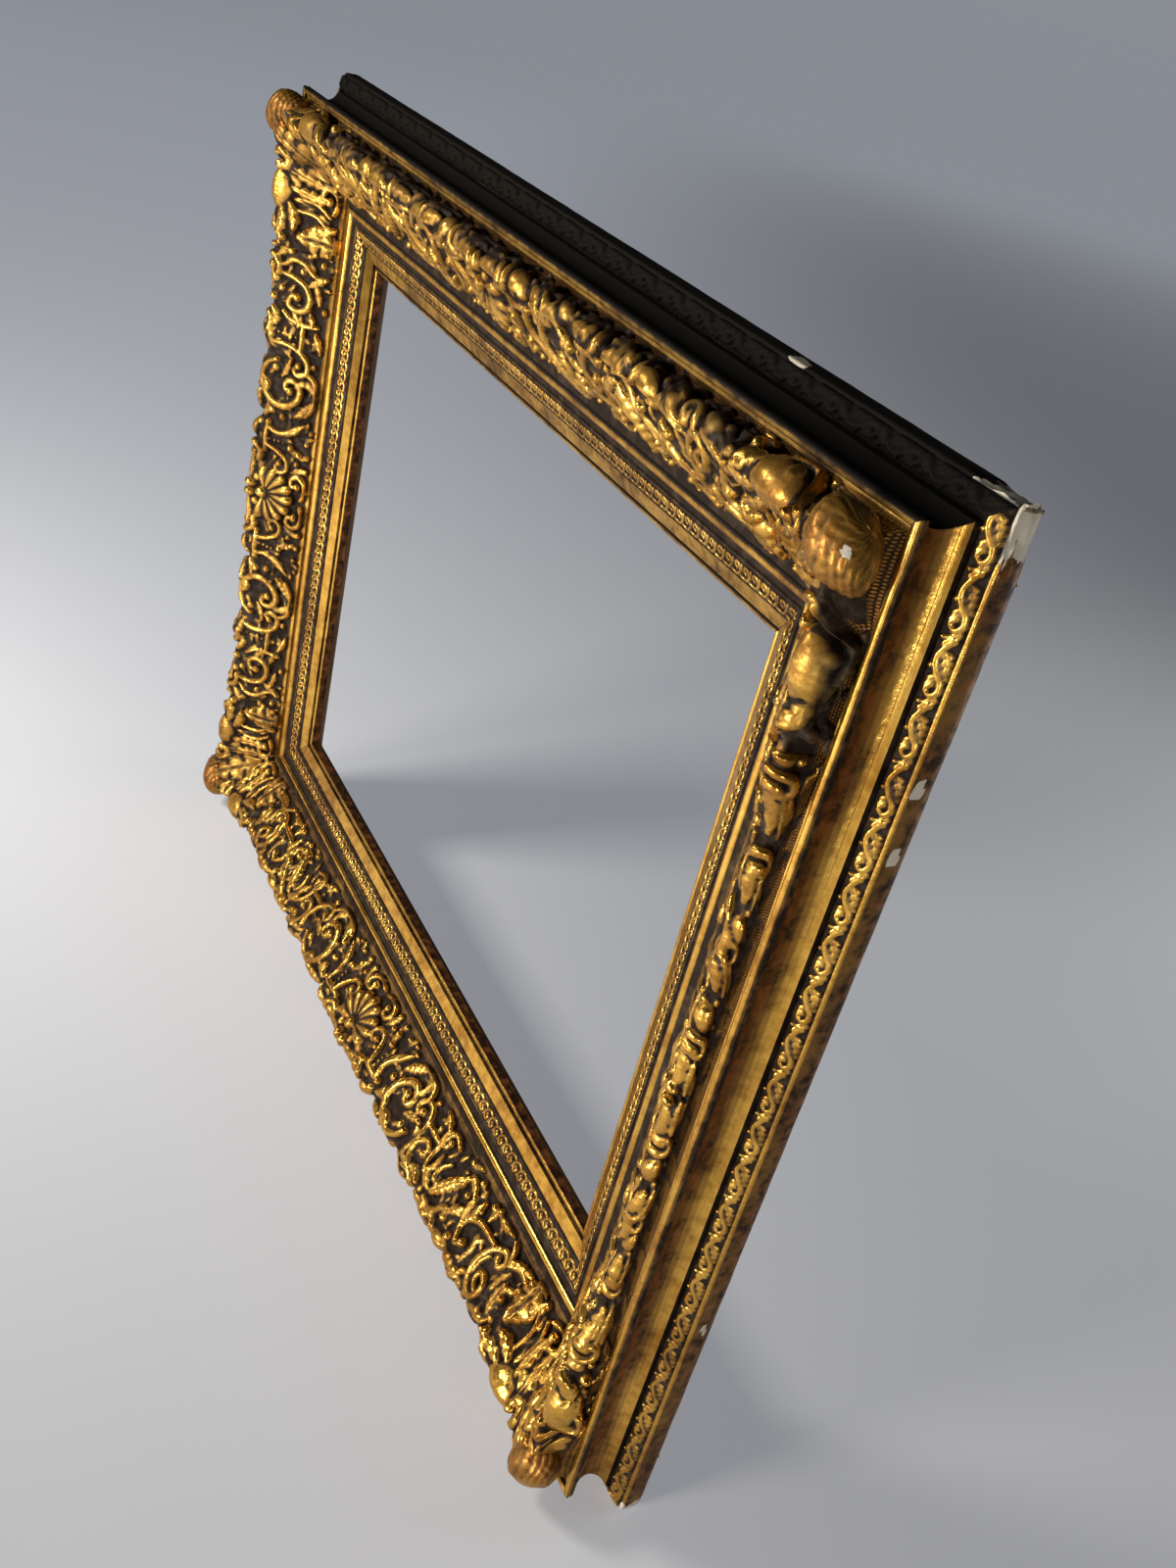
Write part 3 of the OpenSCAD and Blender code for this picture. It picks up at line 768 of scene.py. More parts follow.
@dataclass
class Finishes:
    """Every material of the part."""

    gilding: bpy.types.Material
    wood_across: bpy.types.Material
    wood_upright: bpy.types.Material
    key: bpy.types.Material
    brass: bpy.types.Material
    ring: bpy.types.Material
    eye: bpy.types.Material
    steel: bpy.types.Material

    @classmethod
    def make(cls) -> "Finishes":
        """Builds them all."""
        upright = (120.0, 120.0, 9.0)
        pale, dark = (0.36, 0.235, 0.12), (0.16, 0.092, 0.043)
        return cls(
            gilding=Gilding("old_gold_leaf").build(),
            wood_across=BareWood("back_wood_across").build(),
            wood_upright=BareWood("back_wood_upright", grain_along=upright).build(),
            key=BareWood("key_wood", pale=pale, dark=dark).build(),
            brass=OldMetal("button_brass", (0.62, 0.40, 0.14), (0.12, 0.075, 0.03)).build(),
            ring=OldMetal("ring_brass", (0.66, 0.45, 0.17), (0.15, 0.095, 0.04), 0.3).build(),
            eye=OldMetal("eye_brass", (0.55, 0.36, 0.14), (0.11, 0.07, 0.03)).build(),
            steel=OldMetal("screw_steel", (0.42, 0.41, 0.39), (0.13, 0.075, 0.045), 0.42).build(),
        )

    def wood(self, side: Side) -> bpy.types.Material:
        """The bare wood whose grain runs along that member."""
        return self.wood_across if side.value % 2 == 0 else self.wood_upright


# Mitred members


@dataclass(frozen=True)
class Marks:
    """What one stretch of a section looks like: each mark goes from 0 to 1."""

    wear: float = 0.4
    grit: float = 0.0
    net: float = 0.0
    rub: float = 0.0
    edge: float = 0.0
    bare: float = 0.0


WOOD = Marks(bare=1.0)
MARK_NAMES = ("wear", "grit", "net", "rub", "edge", "bare")


class Outline:
    """A closed section, drawn stretch by stretch, each with its own marks."""

    def __init__(self, o: float, h: float) -> None:
        """Starts at a point."""
        self.points: list[Point] = [(o, h)]
        self.marks: list[Marks] = [WOOD]

    def line(self, o: float, h: float, marks: Marks, steps: int = 1) -> "Outline":
        """Straight stretch to a point: its marks set in just past its start.

        Args:
            o: Outward place of its end.
            h: Height of its end.
            marks: Its marks.
            steps: Number of points along it.

        Returns:
            The outline, for the next stretch.
        """
        o0, h0 = self.points[-1]
        length = math.hypot(o - o0, h - h0)
        shares = [min(0.12 / length, 0.3), *[(i + 1) / steps for i in range(steps)]]
        self.points += [(o0 + (o - o0) * t, h0 + (h - h0) * t) for t in shares]
        self.marks += [marks] * len(shares)
        return self

    def arc(
        self, mid: Point, radius: float, start: float, end: float, marks: Marks, steps: int
    ) -> "Outline":
        """Round stretch about a centre.

        Args:
            mid: The centre.
            radius: The radius.
            start: Angle of its start in degrees.
            end: Angle of its end.
            marks: Its marks.
            steps: Number of points along it.

        Returns:
            The outline, for the next stretch.
        """
        angles = [math.radians(start + (end - start) * i / steps) for i in range(1, steps + 1)]
        self.points += [(mid[0] + radius * math.cos(t), mid[1] + radius * math.sin(t)) for t in angles]
        self.marks += [marks] * steps
        return self

    def closed(self) -> tuple[np.ndarray, dict[str, np.ndarray]]:
        """The section as arrays, turning left seen with o to the right and h up."""
        points = np.array(self.points[:-1])
        o, h = points[:, 0], points[:, 1]
        area = np.sum(o * np.roll(h, -1) - np.roll(o, -1) * h)
        marks = {n: np.array([getattr(m, n) for m in self.marks[:-1]]) for n in MARK_NAMES}
        if area < 0:
            return points[::-1], {n: v[::-1] for n, v in marks.items()}
        return points, marks


@dataclass
class SweptMember:
    """A section carried along one member and cut at its mitres."""

    side: Side
    finishes: Finishes
    kind: str = "member"
    slot: str = "gilded_moulding"
    unevenness: float = 0.07
    # Share of painted shade on the top member: more on faces that look up.
    painted_shade: float = 0.46

    def outline(self) -> Outline:
        """The member's section."""
        raise NotImplementedError

    @property
    def name(self) -> str:
        """Name of the node that this member stands for."""
        return f"{self.kind}_{self.side.label}"

    def stations(self) -> np.ndarray:
        """Shares along the member from -1 to 1, crowded at its mitres."""
        near = 1 - np.array([0.0, 0.0011, 0.0035, 0.008, 0.014, 0.022, 0.032, 0.045, 0.06])
        middle = np.linspace(-0.925, 0.925, 121)
        return np.concatenate([-near, middle, near[::-1]])

    def skin(self) -> Skin:
        """The swept mesh: s is the share times the mitred half length at that o."""
        section, marks = self.outline().closed()
        t = self.stations()[:, None]
        o, h = np.broadcast_arrays(section[None, :, 0], section[None, :, 1])
        after, before = np.roll(section, -1, axis=0), np.roll(section, 1, axis=0)
        run = after - before
        out = np.stack([run[:, 1], -run[:, 0]], axis=-1) / np.linalg.norm(run, axis=1)[:, None]
        girth = np.cumsum(np.linalg.norm(section - before, axis=1))[None, :]
        along = t * (self.side.half + o)
        visible = 1 - marks["bare"][None, :]
        push = waver(along, girth, 7 + self.side.value, self.unevenness, 17.0) * visible
        push = push - 0.6 * self.unevenness * visible
        rows = along.shape[0]
        spread = {n: np.repeat(v[None, :], rows, axis=0) for n, v in marks.items()}
        seam = ease(1 - np.abs(t), 0.0, 0.0016)
        spread["wear"] = spread["wear"] * (0.25 + 0.75 * seam)
        # Painted shade on the top member, darkest on faces that look up.
        if self.side is Side.TOP:
            top_shade_share = self.painted_shade + (1 - self.painted_shade) * ease(out[None, :, 0], 0.0, 0.6)
            paint_shade(spread, np.repeat(top_shade_share, rows, axis=0))
        spread["chalk"], bite = self.chips(along, o, h)
        push = np.minimum(push - bite, 0.0)
        o = o + out[None, :, 0] * push
        h = h + out[None, :, 1] * push
        cols = section.shape[0]
        quads = grid_quads(rows, cols, wrap=True)
        first = np.arange(cols)[::-1]
        last = np.arange(cols) + (rows - 1) * cols
        both = marks["bare"] * np.roll(marks["bare"], -1)
        bare = np.tile((both > 0.5).astype(int), rows - 1)
        plan = np.stack([along, np.broadcast_to(girth, along.shape)], axis=-1).reshape(-1, 2)
        kept = {n: v for n, v in spread.items() if n != "bare"}
        return Skin(self.side.place(along, o, h), quads, plan, [first, last], kept, bare)

    def chips(self, s: np.ndarray, o: np.ndarray, h: np.ndarray) -> tuple[np.ndarray, np.ndarray]:
        """Where the gesso has gone at s, o and h: its chalk mark and how deep it is bitten."""
        return np.zeros(s.shape), np.zeros(s.shape)

    def build(self) -> bpy.types.Object:
        """Dresses the member's node, gilded in front and bare wood behind."""
        looks = [self.finishes.gilding, self.finishes.wood(self.side)]
        return dress(self.name, "dressed", self.skin(), looks, self.slot, CREASE)


@dataclass
class SightSlip(SweptMember):
    """Inner slip: red-brown inner face, sight bead, quirk and plain gold flat."""

    kind: str = "sight_slip"
    slot: str = "gilded_slip"
    unevenness: float = 0.05

    def outline(self) -> Outline:
        """The slip's section, from its inner face outward."""
        c, inner, bead_r, foot = SECTION, 0.255, 1.7, 0.6
        flat_o, flat_h = 4.8, 20.425
        hidden = Marks(wear=0.0)
        drawn = Outline(inner, c.seat_back)
        drawn.line(inner, c.lip_h, Marks(wear=0.14, rub=0.58), 4)
        drawn.arc((bead_r, c.lip_h), bead_r, 180, 150, Marks(wear=0.5, rub=0.35), 2)
        drawn.arc((bead_r, c.lip_h), bead_r, 150, 30, Marks(wear=0.86, rub=0.12), 8)
        drawn.arc((bead_r, c.lip_h), bead_r, 30, 0, Marks(wear=0.3), 2)
        drawn.line(flat_o, c.lip_h, Marks(wear=0.08, rub=0.3), 1)
        drawn.line(flat_o, flat_h, Marks(wear=0.35), 2)
        drawn.line(flat_o + 0.5, flat_h + 0.2, Marks(wear=0.9), 1)
        # Painted highlight: the left member's flat gets higher wear, which stands in for the floor's
        # reflection on it.
        flat = Marks(wear=0.96) if self.side is Side.LEFT else Marks(wear=0.78, rub=0.1)
        drawn.line(c.slip_w - 0.6, c.slip_top - 0.25, flat, 6)
        drawn.line(c.slip_w, c.slip_top, Marks(wear=0.85), 1)
        drawn.line(c.slip_w, c.seat_back + foot, hidden)
        drawn.line(8 - foot, c.seat_back + foot, WOOD)
        drawn.line(8 - foot, c.seat_back, WOOD)
        return drawn.line(inner, c.seat_back, WOOD)


@dataclass
class Moulding(SweptMember):
    """Main moulding: sloping bands, torus, sanded flat, bed, double edge and deep cove."""

    kind: str = "moulding"

    def outline(self) -> Outline:
        """The moulding's section, from the rebate over the front to the hollow back."""
        c, rebate, foot = SECTION, 8.0, 0.6
        torus, bead = (c.torus_o, c.torus_h), (c.edge_o - c.edge_r, c.fillet_top)
        cove = (c.cove_o, c.cove_h)
        swing = math.degrees(math.acos((c.cove_o - c.wall_o) / c.cove_r))
        wall_h = c.cove_r * math.sin(math.radians(swing))
        bite = math.degrees(math.acos((c.sand_o - c.torus_o) / c.torus_r))
        drawn = Outline(rebate, c.button_room)
        drawn.line(rebate, c.seat_back + foot, WOOD).line(c.slip_w, c.seat_back + foot, WOOD)
        drawn.line(c.slip_w, c.slip_top, Marks(wear=0.0))
        drawn.line(c.speck_o, c.speck_h, Marks(wear=0.3), 3)
        drawn.line(c.torus_o - c.torus_r, c.torus_h, Marks(wear=0.30, grit=1.0), 3)
        # Painted highlight on the left member: high wear on the torus flanks, the sanded flat and the rise
        # stands in for the floor's reflection; elsewhere the flanks keep their own low wear.
        worn = self.side is Side.LEFT
        flank_wear_and_highlight = 0.55 if worn else 0.12
        drawn.arc(torus, c.torus_r, 180, 158, Marks(wear=flank_wear_and_highlight, rub=0.2), 3)
        drawn.arc(torus, c.torus_r, 158, 48, Marks(wear=0.95), 13)
        drawn.arc(torus, c.torus_r, 48, bite, Marks(wear=flank_wear_and_highlight), 3)
        drawn.line(c.sand_o, c.sand_h, Marks(wear=flank_wear_and_highlight))
        drawn.line(c.sand_end, c.sand_h, Marks(wear=0.92) if worn else Marks(wear=0.34, grit=1.0), 3)
        drawn.line(c.bed_o, c.bed_h, Marks(wear=0.90) if worn else Marks(wear=0.36, rub=0.4), 3)
        drawn.line(c.fillet_o, c.bed_h + c.bed_rise, Marks(wear=0.30, net=1.0), 16)
        drawn.line(c.fillet_o, c.fillet_top, Marks(wear=0.3), 2)
        drawn.line(c.fillet_o + c.fillet_w - 0.5, c.fillet_top, Marks(wear=0.84), 2)
        drawn.line(c.fillet_o + c.fillet_w, c.fillet_top - 0.3, Marks(wear=0.08, rub=0.3), 1)
        drawn.arc(bead, c.edge_r, 175, 150, Marks(wear=0.3, rub=0.5), 2)
        drawn.arc(bead, c.edge_r, 150, 50, Marks(wear=0.74, rub=0.16, edge=0.2), 9)
        drawn.arc(bead, c.edge_r, 50, 0, Marks(wear=0.4, rub=0.4), 4)
        drawn.line(c.wall_o, c.fillet_top, Marks(wear=0.2))
        drawn.line(c.wall_o, c.cove_h + wall_h, Marks(wear=0.3, rub=0.4), 2)
        drawn.arc(cove, c.cove_r, 180 - swing, 150, Marks(wear=0.36, rub=0.62), 5)
        drawn.arc(cove, c.cove_r, 150, 178, Marks(wear=0.34, rub=0.66), 6)
        drawn.arc(cove, c.cove_r, 178, 194, Marks(wear=0.42, rub=0.54), 4)
        drawn.arc(cove, c.cove_r, 194, 208, Marks(wear=0.54, rub=0.40), 4)
        drawn.arc(cove, c.cove_r, 208, 220, Marks(wear=0.70, rub=0.24), 4)
        drawn.arc(cove, c.cove_r, 220, 180 + swing, Marks(wear=0.95), 5)
        drawn.line(c.wall_o, c.seat_h, Marks(wear=0.05), 2)
        drawn.line(c.rail_in, c.seat_h, WOOD).line(c.rail_in, c.lip_h, WOOD)
        drawn.line(c.block_o, c.lip_h, WOOD, 3).line(c.block_o, c.button_room, WOOD)
        return drawn.line(rebate, c.button_room, WOOD, 2)


@dataclass
class BackRail(SweptMember):
    """Back rail: dark gap, sloping face, nose and worn round back edge."""

    kind: str = "back_rail"
    slot: str = "gilded_rail"
    unevenness: float = 0.12
    # The top rail is painted in full shade.
    painted_shade: float = 1.0
    # side, place along it, height and size of each small loss
    losses: tuple[tuple[Side, float, float, float], ...] = (
        (Side.RIGHT, -207.0, 17.0, 4.5),
        (Side.RIGHT, -173.0, 15.0, 3.5),
        (Side.RIGHT, 168.0, 14.0, 3.0),
        (Side.TOP, 257.0, 18.0, 5.0),
    )

    def outline(self) -> Outline:
        """The rail's section, from its inner foot over the front to the wall."""
        c = SECTION
        nose_h = c.rail_front_h - c.rail_fall
        nose = (c.rail_out - c.rail_nose_r, nose_h - c.rail_nose_r)
        turn = (c.rail_out - c.rail_round, c.rail_round)
        drawn = Outline(c.rail_in, 0.0)
        drawn.line(c.rail_in, c.seat_h, WOOD).line(c.rail_gap_o, c.seat_h, WOOD)
        drawn.line(c.rail_gap_o, c.rail_front_h, Marks(wear=0.02), 2)
        drawn.line(nose[0], nose_h, Marks(wear=0.20, rub=0.3), 5)
        drawn.arc(nose, c.rail_nose_r, 90, 0, Marks(wear=0.66, rub=0.34, edge=0.5), 6)
        drawn.line(c.rail_out, c.rail_round, Marks(wear=0.40, rub=0.50, edge=0.12), 4)
        drawn.arc(turn, c.rail_round, 0, -48, Marks(wear=0.34, rub=0.56, edge=0.2), 7)
        drawn.arc(turn, c.rail_round, -48, -90, Marks(wear=0.2, rub=0.5, edge=0.62), 6)
        return drawn.line(c.rail_in, 0.0, WOOD, 4)

    def chips(self, s: np.ndarray, o: np.ndarray, h: np.ndarray) -> tuple[np.ndarray, np.ndarray]:
        """The broken corner at the top right, and small losses near the other mitres.

        Args:
            s: Places along the member.
            o: Places outward.
            h: Heights over the wall.

        Returns:
            The chalk mark and the depth of the bite.
        """
        broken = {Side.TOP: 1, Side.RIGHT: -1}
        end = broken.get(self.side, 0)
        past = s * end - self.side.half
        ragged = waver(s, o * 1.3 + h * 1.7, 31, 1.0, 6.0) + waver(s, h, 32, 0.6, 2.2)
        outer = ease(o - 1.2 * ragged, 111.5, 116.0)
        loss = ease(past + 4.2 * ragged, 97.0, 101.0) * outer * abs(end)
        small = ease(np.abs(s) - self.side.half + 4 * ragged, 117.0, 121.0) * outer * 0.7
        for side, at, high, size in self.losses:
            if side is self.side:
                far = np.hypot((s - at) / 1.6, h - high) - 1.4 * ragged
                small = np.maximum(small, (1 - ease(far, size - 1.0, size)) * ease(o, 120.5, 121.5))
        chalk = np.maximum(loss, small)
        return chalk, loss * (1.5 + 0.8 * ragged) * ease(o, 114.0, 120.0)


# Relief


class Relief:
    """Heights over a ground, raised motif by motif on a grid of plan points."""

    wall = 1.3

    def __init__(self, x: np.ndarray, y: np.ndarray, low: float, gain: float) -> None:
        """Starts flat.

        Args:
            x: First layout coordinate of each point.
            y: Second layout coordinate of each point.
            low: Height that a top share of 0.85 means.
            gain: Further height for each whole share more.
        """
        self.x, self.y, self.low, self.gain = x, y, low, gain
        self.z = np.zeros(x.shape)
        self.swell = np.zeros(x.shape)

    def tall(self, top: np.ndarray) -> np.ndarray:
        """Height over the bank for a top share."""
        return np.maximum(self.low + self.gain * (top - 0.85), 0.25 * self.low)

    def cushion(self, path: np.ndarray, radius: float) -> None:
        """Marks where the bank itself swells: 1 less the distance share to the power 2.4."""
        inside = self._window(path, radius)
        if inside.any():
            _, dx, dy = self._nearest(path, inside)
            share = np.clip(1 - (np.hypot(dx, dy) / radius) ** 2.4, 0, None)
            self.swell[inside] = np.maximum(self.swell[inside], share)

    def _window(self, path: np.ndarray, margin: float) -> np.ndarray:
        """Which points lie within a margin of a path's box."""
        (x0, y0), (x1, y1) = path.min(axis=0) - margin, path.max(axis=0) + margin
        return (self.x > x0) & (self.x < x1) & (self.y > y0) & (self.y < y1)

    def _nearest(self, path: np.ndarray, inside: np.ndarray) -> tuple[np.ndarray, ...]:
        """Number of the nearest path point, and the way to it along x and y."""
        dx = self.x[inside][:, None] - path[None, :, 0]
        dy = self.y[inside][:, None] - path[None, :, 1]
        best = np.argmin(dx * dx + dy * dy, axis=1)
        rows = np.arange(len(best))
        return best, dx[rows, best], dy[rows, best]

    def _raise(self, inside: np.ndarray, height: np.ndarray) -> None:
        """Keeps the higher of what stands there and the new height."""
        self.z[inside] = np.maximum(self.z[inside], height)

    def rod(self, path: np.ndarray, thick: np.ndarray, top: float) -> None:
        """Raises a rod along a path: a half round of its thickness on a steep wall.

        Args:
            path: Points of its middle line.
            thick: Half thickness at each of them.
            top: Its top share.
        """
        inside = self._window(path, float(thick.max()) + self.wall)
        if not inside.any():
            return
        best, dx, dy = self._nearest(path, inside)
        far, r = np.hypot(dx, dy), thick[best]
        tall = np.maximum(self.tall(top), r)
        round_top = tall - 0.9 * r * (1 - np.sqrt(np.clip(1 - (far / r) ** 2, 0, 1)))
        foot = (tall - 0.9 * r) * (1 - ease(far - r, 0.0, self.wall))
        self._raise(inside, np.where(far < r, round_top, foot))

    def leaf(self, motif: "Leaf") -> None:
        """Raises a lobed leaf: creases run from its edge back to a grooved midrib."""
        path, aim = motif.spine()
        inside = self._window(path, motif.width + self.wall)
        if not inside.any():
            return
        best, dx, dy = self._nearest(path, inside)
        u = best / (len(path) - 1)
        side = -np.sin(aim[best]) * dx + np.cos(aim[best]) * dy
        past = np.abs(np.cos(aim[best]) * dx + np.sin(aim[best]) * dy)
        body = np.sin(math.pi * np.clip(u * 0.86 + 0.10, 0, 1)) ** 0.62
        off = np.hypot(side, past)
        wide = motif.width / 2 * body
        beat = motif.lobes * u - 0.42 * np.clip(off / np.maximum(wide, 0.3), 0, 1.2)
        lobe = np.abs(np.sin(math.pi * beat)) ** 0.55
        wide = wide * (1 - motif.cut + motif.cut * lobe)
        q = off / np.maximum(wide, 0.25)
        low, high = motif.top
        tall = self.tall(low + (high - low) * u)
        crown = 1 - 0.42 * np.clip(q, 0, 1) ** 2.4
        rib = motif.width * 0.07 * np.exp(-((off / (0.07 * motif.width)) ** 2))
        crease = motif.width * 0.11 * (1 - lobe) * np.clip(q, 0, 1) ** 0.8
        height = tall * crown - rib - crease
        edge = 1 - ease((q - 1) * np.maximum(wide, 0.25), 0.0, self.wall)
        self._raise(inside, np.clip(height, 0, None) * edge)

    def fan(self, motif: "Fan") -> None:
        """Raises a ribbed shell: ribs spread from its root and dip before its scalloped rim."""
        path = np.array([motif.root])
        inside = self._window(path, motif.radius + self.wall)
        if not inside.any():
            return
        dx, dy = self.x[inside] - motif.root[0], self.y[inside] - motif.root[1]
        far = np.hypot(dx, dy)
        turn = np.degrees(np.arctan2(dy, dx)) - motif.aim
        turn = (turn + 180) % 360 - 180
        share = turn / motif.spread
        beat = (share + 1) / 2 * motif.ribs
        rib = np.abs(np.sin(math.pi * beat)) ** 0.6
        rim = motif.radius * (1 - 0.16 * share**2) * (0.86 + 0.14 * rib)
        q = far / rim
        swell = 0.62 + 0.38 * ease(q, 0.1, 0.75) - 0.18 * ease(q, 0.86, 1.0)
        tall = self.tall(motif.top) * swell
        height = tall - motif.depth * (1 - rib) * ease(q, 0.08, 0.5)
        edge = (1 - ease((q - 1) * rim, 0.0, self.wall)) * (np.abs(share) < 1)
        self._raise(inside, np.clip(height, 0, None) * edge)

    def dome(self, motif: "Dome") -> None:
        """Raises a smooth swollen leaf: a flattened half egg with soft folds at one end."""
        path = np.array([motif.at])
        inside = self._window(path, max(motif.long, motif.wide) + self.wall)
        if not inside.any():
            return
        dx, dy = self.x[inside] - motif.at[0], self.y[inside] - motif.at[1]
        aim = math.radians(motif.aim)
        u = (dx * math.cos(aim) + dy * math.sin(aim)) / motif.long
        v = (-dx * math.sin(aim) + dy * math.cos(aim)) / motif.wide
        folds = np.abs(np.cos(math.pi * motif.folds * np.arctan2(v, 1.5 - u) / 2)) ** 0.7
        reach = 1 - 0.12 * (1 - folds) * ease(u, 0.2, 0.9)
        q = np.hypot(u, v) / reach
        body = np.clip(1 - q**2.3, 0, 1) ** 0.62
        crease = 0.09 * motif.wide * (1 - folds) * ease(u, 0.1, 0.8)
        self._raise(inside, np.clip(self.tall(motif.top) * body - crease * (body > 0), 0, None))

    def blur(self, reach: int, times: int = 2) -> np.ndarray:
        """Heights averaged over a square window, by sums along each axis in turn."""
        z = self.z
        for _ in range(times):
            for axis in (0, 1):
                pad = [(reach + 1, reach) if k == axis else (0, 0) for k in (0, 1)]
                total = np.cumsum(np.pad(z, pad, mode="edge"), axis=axis)
                upper = np.take(total, range(2 * reach + 1, total.shape[axis]), axis=axis)
                lower = np.take(total, range(0, total.shape[axis] - 2 * reach - 1), axis=axis)
                z = (upper - lower) / (2 * reach + 1)
        return z


def flow(points: Sequence[Point], step: float = 0.7) -> np.ndarray:
    """Smooth path through points: a Catmull-Rom curve, sampled evenly.

    Args:
        points: Points that it passes.
        step: Largest distance between samples.

    Returns:
        An array of path points.
    """
    knots = np.array(points, float)
    ends = np.concatenate([[2 * knots[0] - knots[1]], knots, [2 * knots[-1] - knots[-2]]])
    p0, p1, p2, p3 = ends[:-3], ends[1:-2], ends[2:-1], ends[3:]
    longest = float(np.linalg.norm(p2 - p1, axis=1).max())
    t = np.linspace(0, 1, max(4, int(longest / step)), endpoint=False)[None, :, None]
    p0, p1, p2, p3 = (p[:, None, :] for p in (p0, p1, p2, p3))
    curve = 0.5 * (2 * p1 + (p2 - p0) * t + (2 * p0 - 5 * p1 + 4 * p2 - p3) * t**2
                   + (3 * p1 - p0 - 3 * p2 + p3) * t**3)
    return np.concatenate([curve.reshape(-1, 2), knots[-1:]])


@dataclass(frozen=True)
class Scroll:
    """A rod along points: it thins to its ends, and a curled end stops in a pearl."""

    points: tuple[Point, ...]
    thick: float = 2.0
    top: float = 0.9
    eye: bool = True
    stout: float = 1.25

    def raise_on(self, relief: Relief) -> None:
        """Raises it on a relief."""
        path = flow(self.points)
        u = np.linspace(0, 1, len(path))
        thick = self.thick * self.stout * (0.62 + 0.38 * np.sin(math.pi * u))
        relief.rod(path, thick, self.top)
        if self.eye:
            relief.rod(path[-1:], np.array([self.thick * self.stout * 1.2]), self.top + 0.08)


@dataclass(frozen=True)
class Pearls:
    """Round pearls of one size."""

    points: tuple[Point, ...]
    radius: float = 1.4
    top: float = 0.7

    def raise_on(self, relief: Relief) -> None:
        """Raises them on a relief."""
        for point in self.points:
            relief.rod(np.array([point]), np.array([self.radius]), self.top)


@dataclass(frozen=True)
class Cushion:
    """A soft swelling of the bank under a group of motifs."""

    points: tuple[Point, ...]
    radius: float

    def raise_on(self, relief: Relief) -> None:
        """Raises it on a relief."""
        path = flow(self.points) if len(self.points) > 1 else np.array(self.points)
        relief.cushion(path, self.radius)


@dataclass(frozen=True)
class Leaf:
    """A lobed leaf from its root along an aim, bending evenly."""

    root: Point
    aim: float
    length: float
    width: float
    top: tuple[float, float] = (0.7, 1.0)
    bend: float = 0.0
    lobes: float = 4.0
    cut: float = 0.24

    def spine(self) -> tuple[np.ndarray, np.ndarray]:
        """Points of its middle line and the heading, in radians, at each."""
        u = np.linspace(0, 1, max(8, int(self.length / 0.7)))
        aim = np.radians(self.aim + self.bend * u)
        step = self.length / (len(u) - 1)
        x = self.root[0] + np.concatenate([[0], np.cumsum(np.cos(aim[:-1]) * step)])
        y = self.root[1] + np.concatenate([[0], np.cumsum(np.sin(aim[:-1]) * step)])
        return np.stack([x, y], axis=-1), aim

    def raise_on(self, relief: Relief) -> None:
        """Raises it on a relief."""
        relief.leaf(self)


@dataclass(frozen=True)
class Fan:
    """A ribbed shell."""

    root: Point
    aim: float
    radius: float
    spread: float
    ribs: int
    top: float = 1.0
    depth: float = 2.2

    def raise_on(self, relief: Relief) -> None:
        """Raises it on a relief."""
        relief.fan(self)


@dataclass(frozen=True)
class Dome:
    """A smooth swollen leaf: half lengths along and across its aim, folded at its far end."""

    at: Point
    aim: float
    long: float
    wide: float
    top: float = 1.2
    folds: float = 2.5

    def raise_on(self, relief: Relief) -> None:
        """Raises it on a relief."""
        relief.dome(self)


Motif = Scroll | Pearls | Cushion | Leaf | Fan | Dome


# The ornament's layout


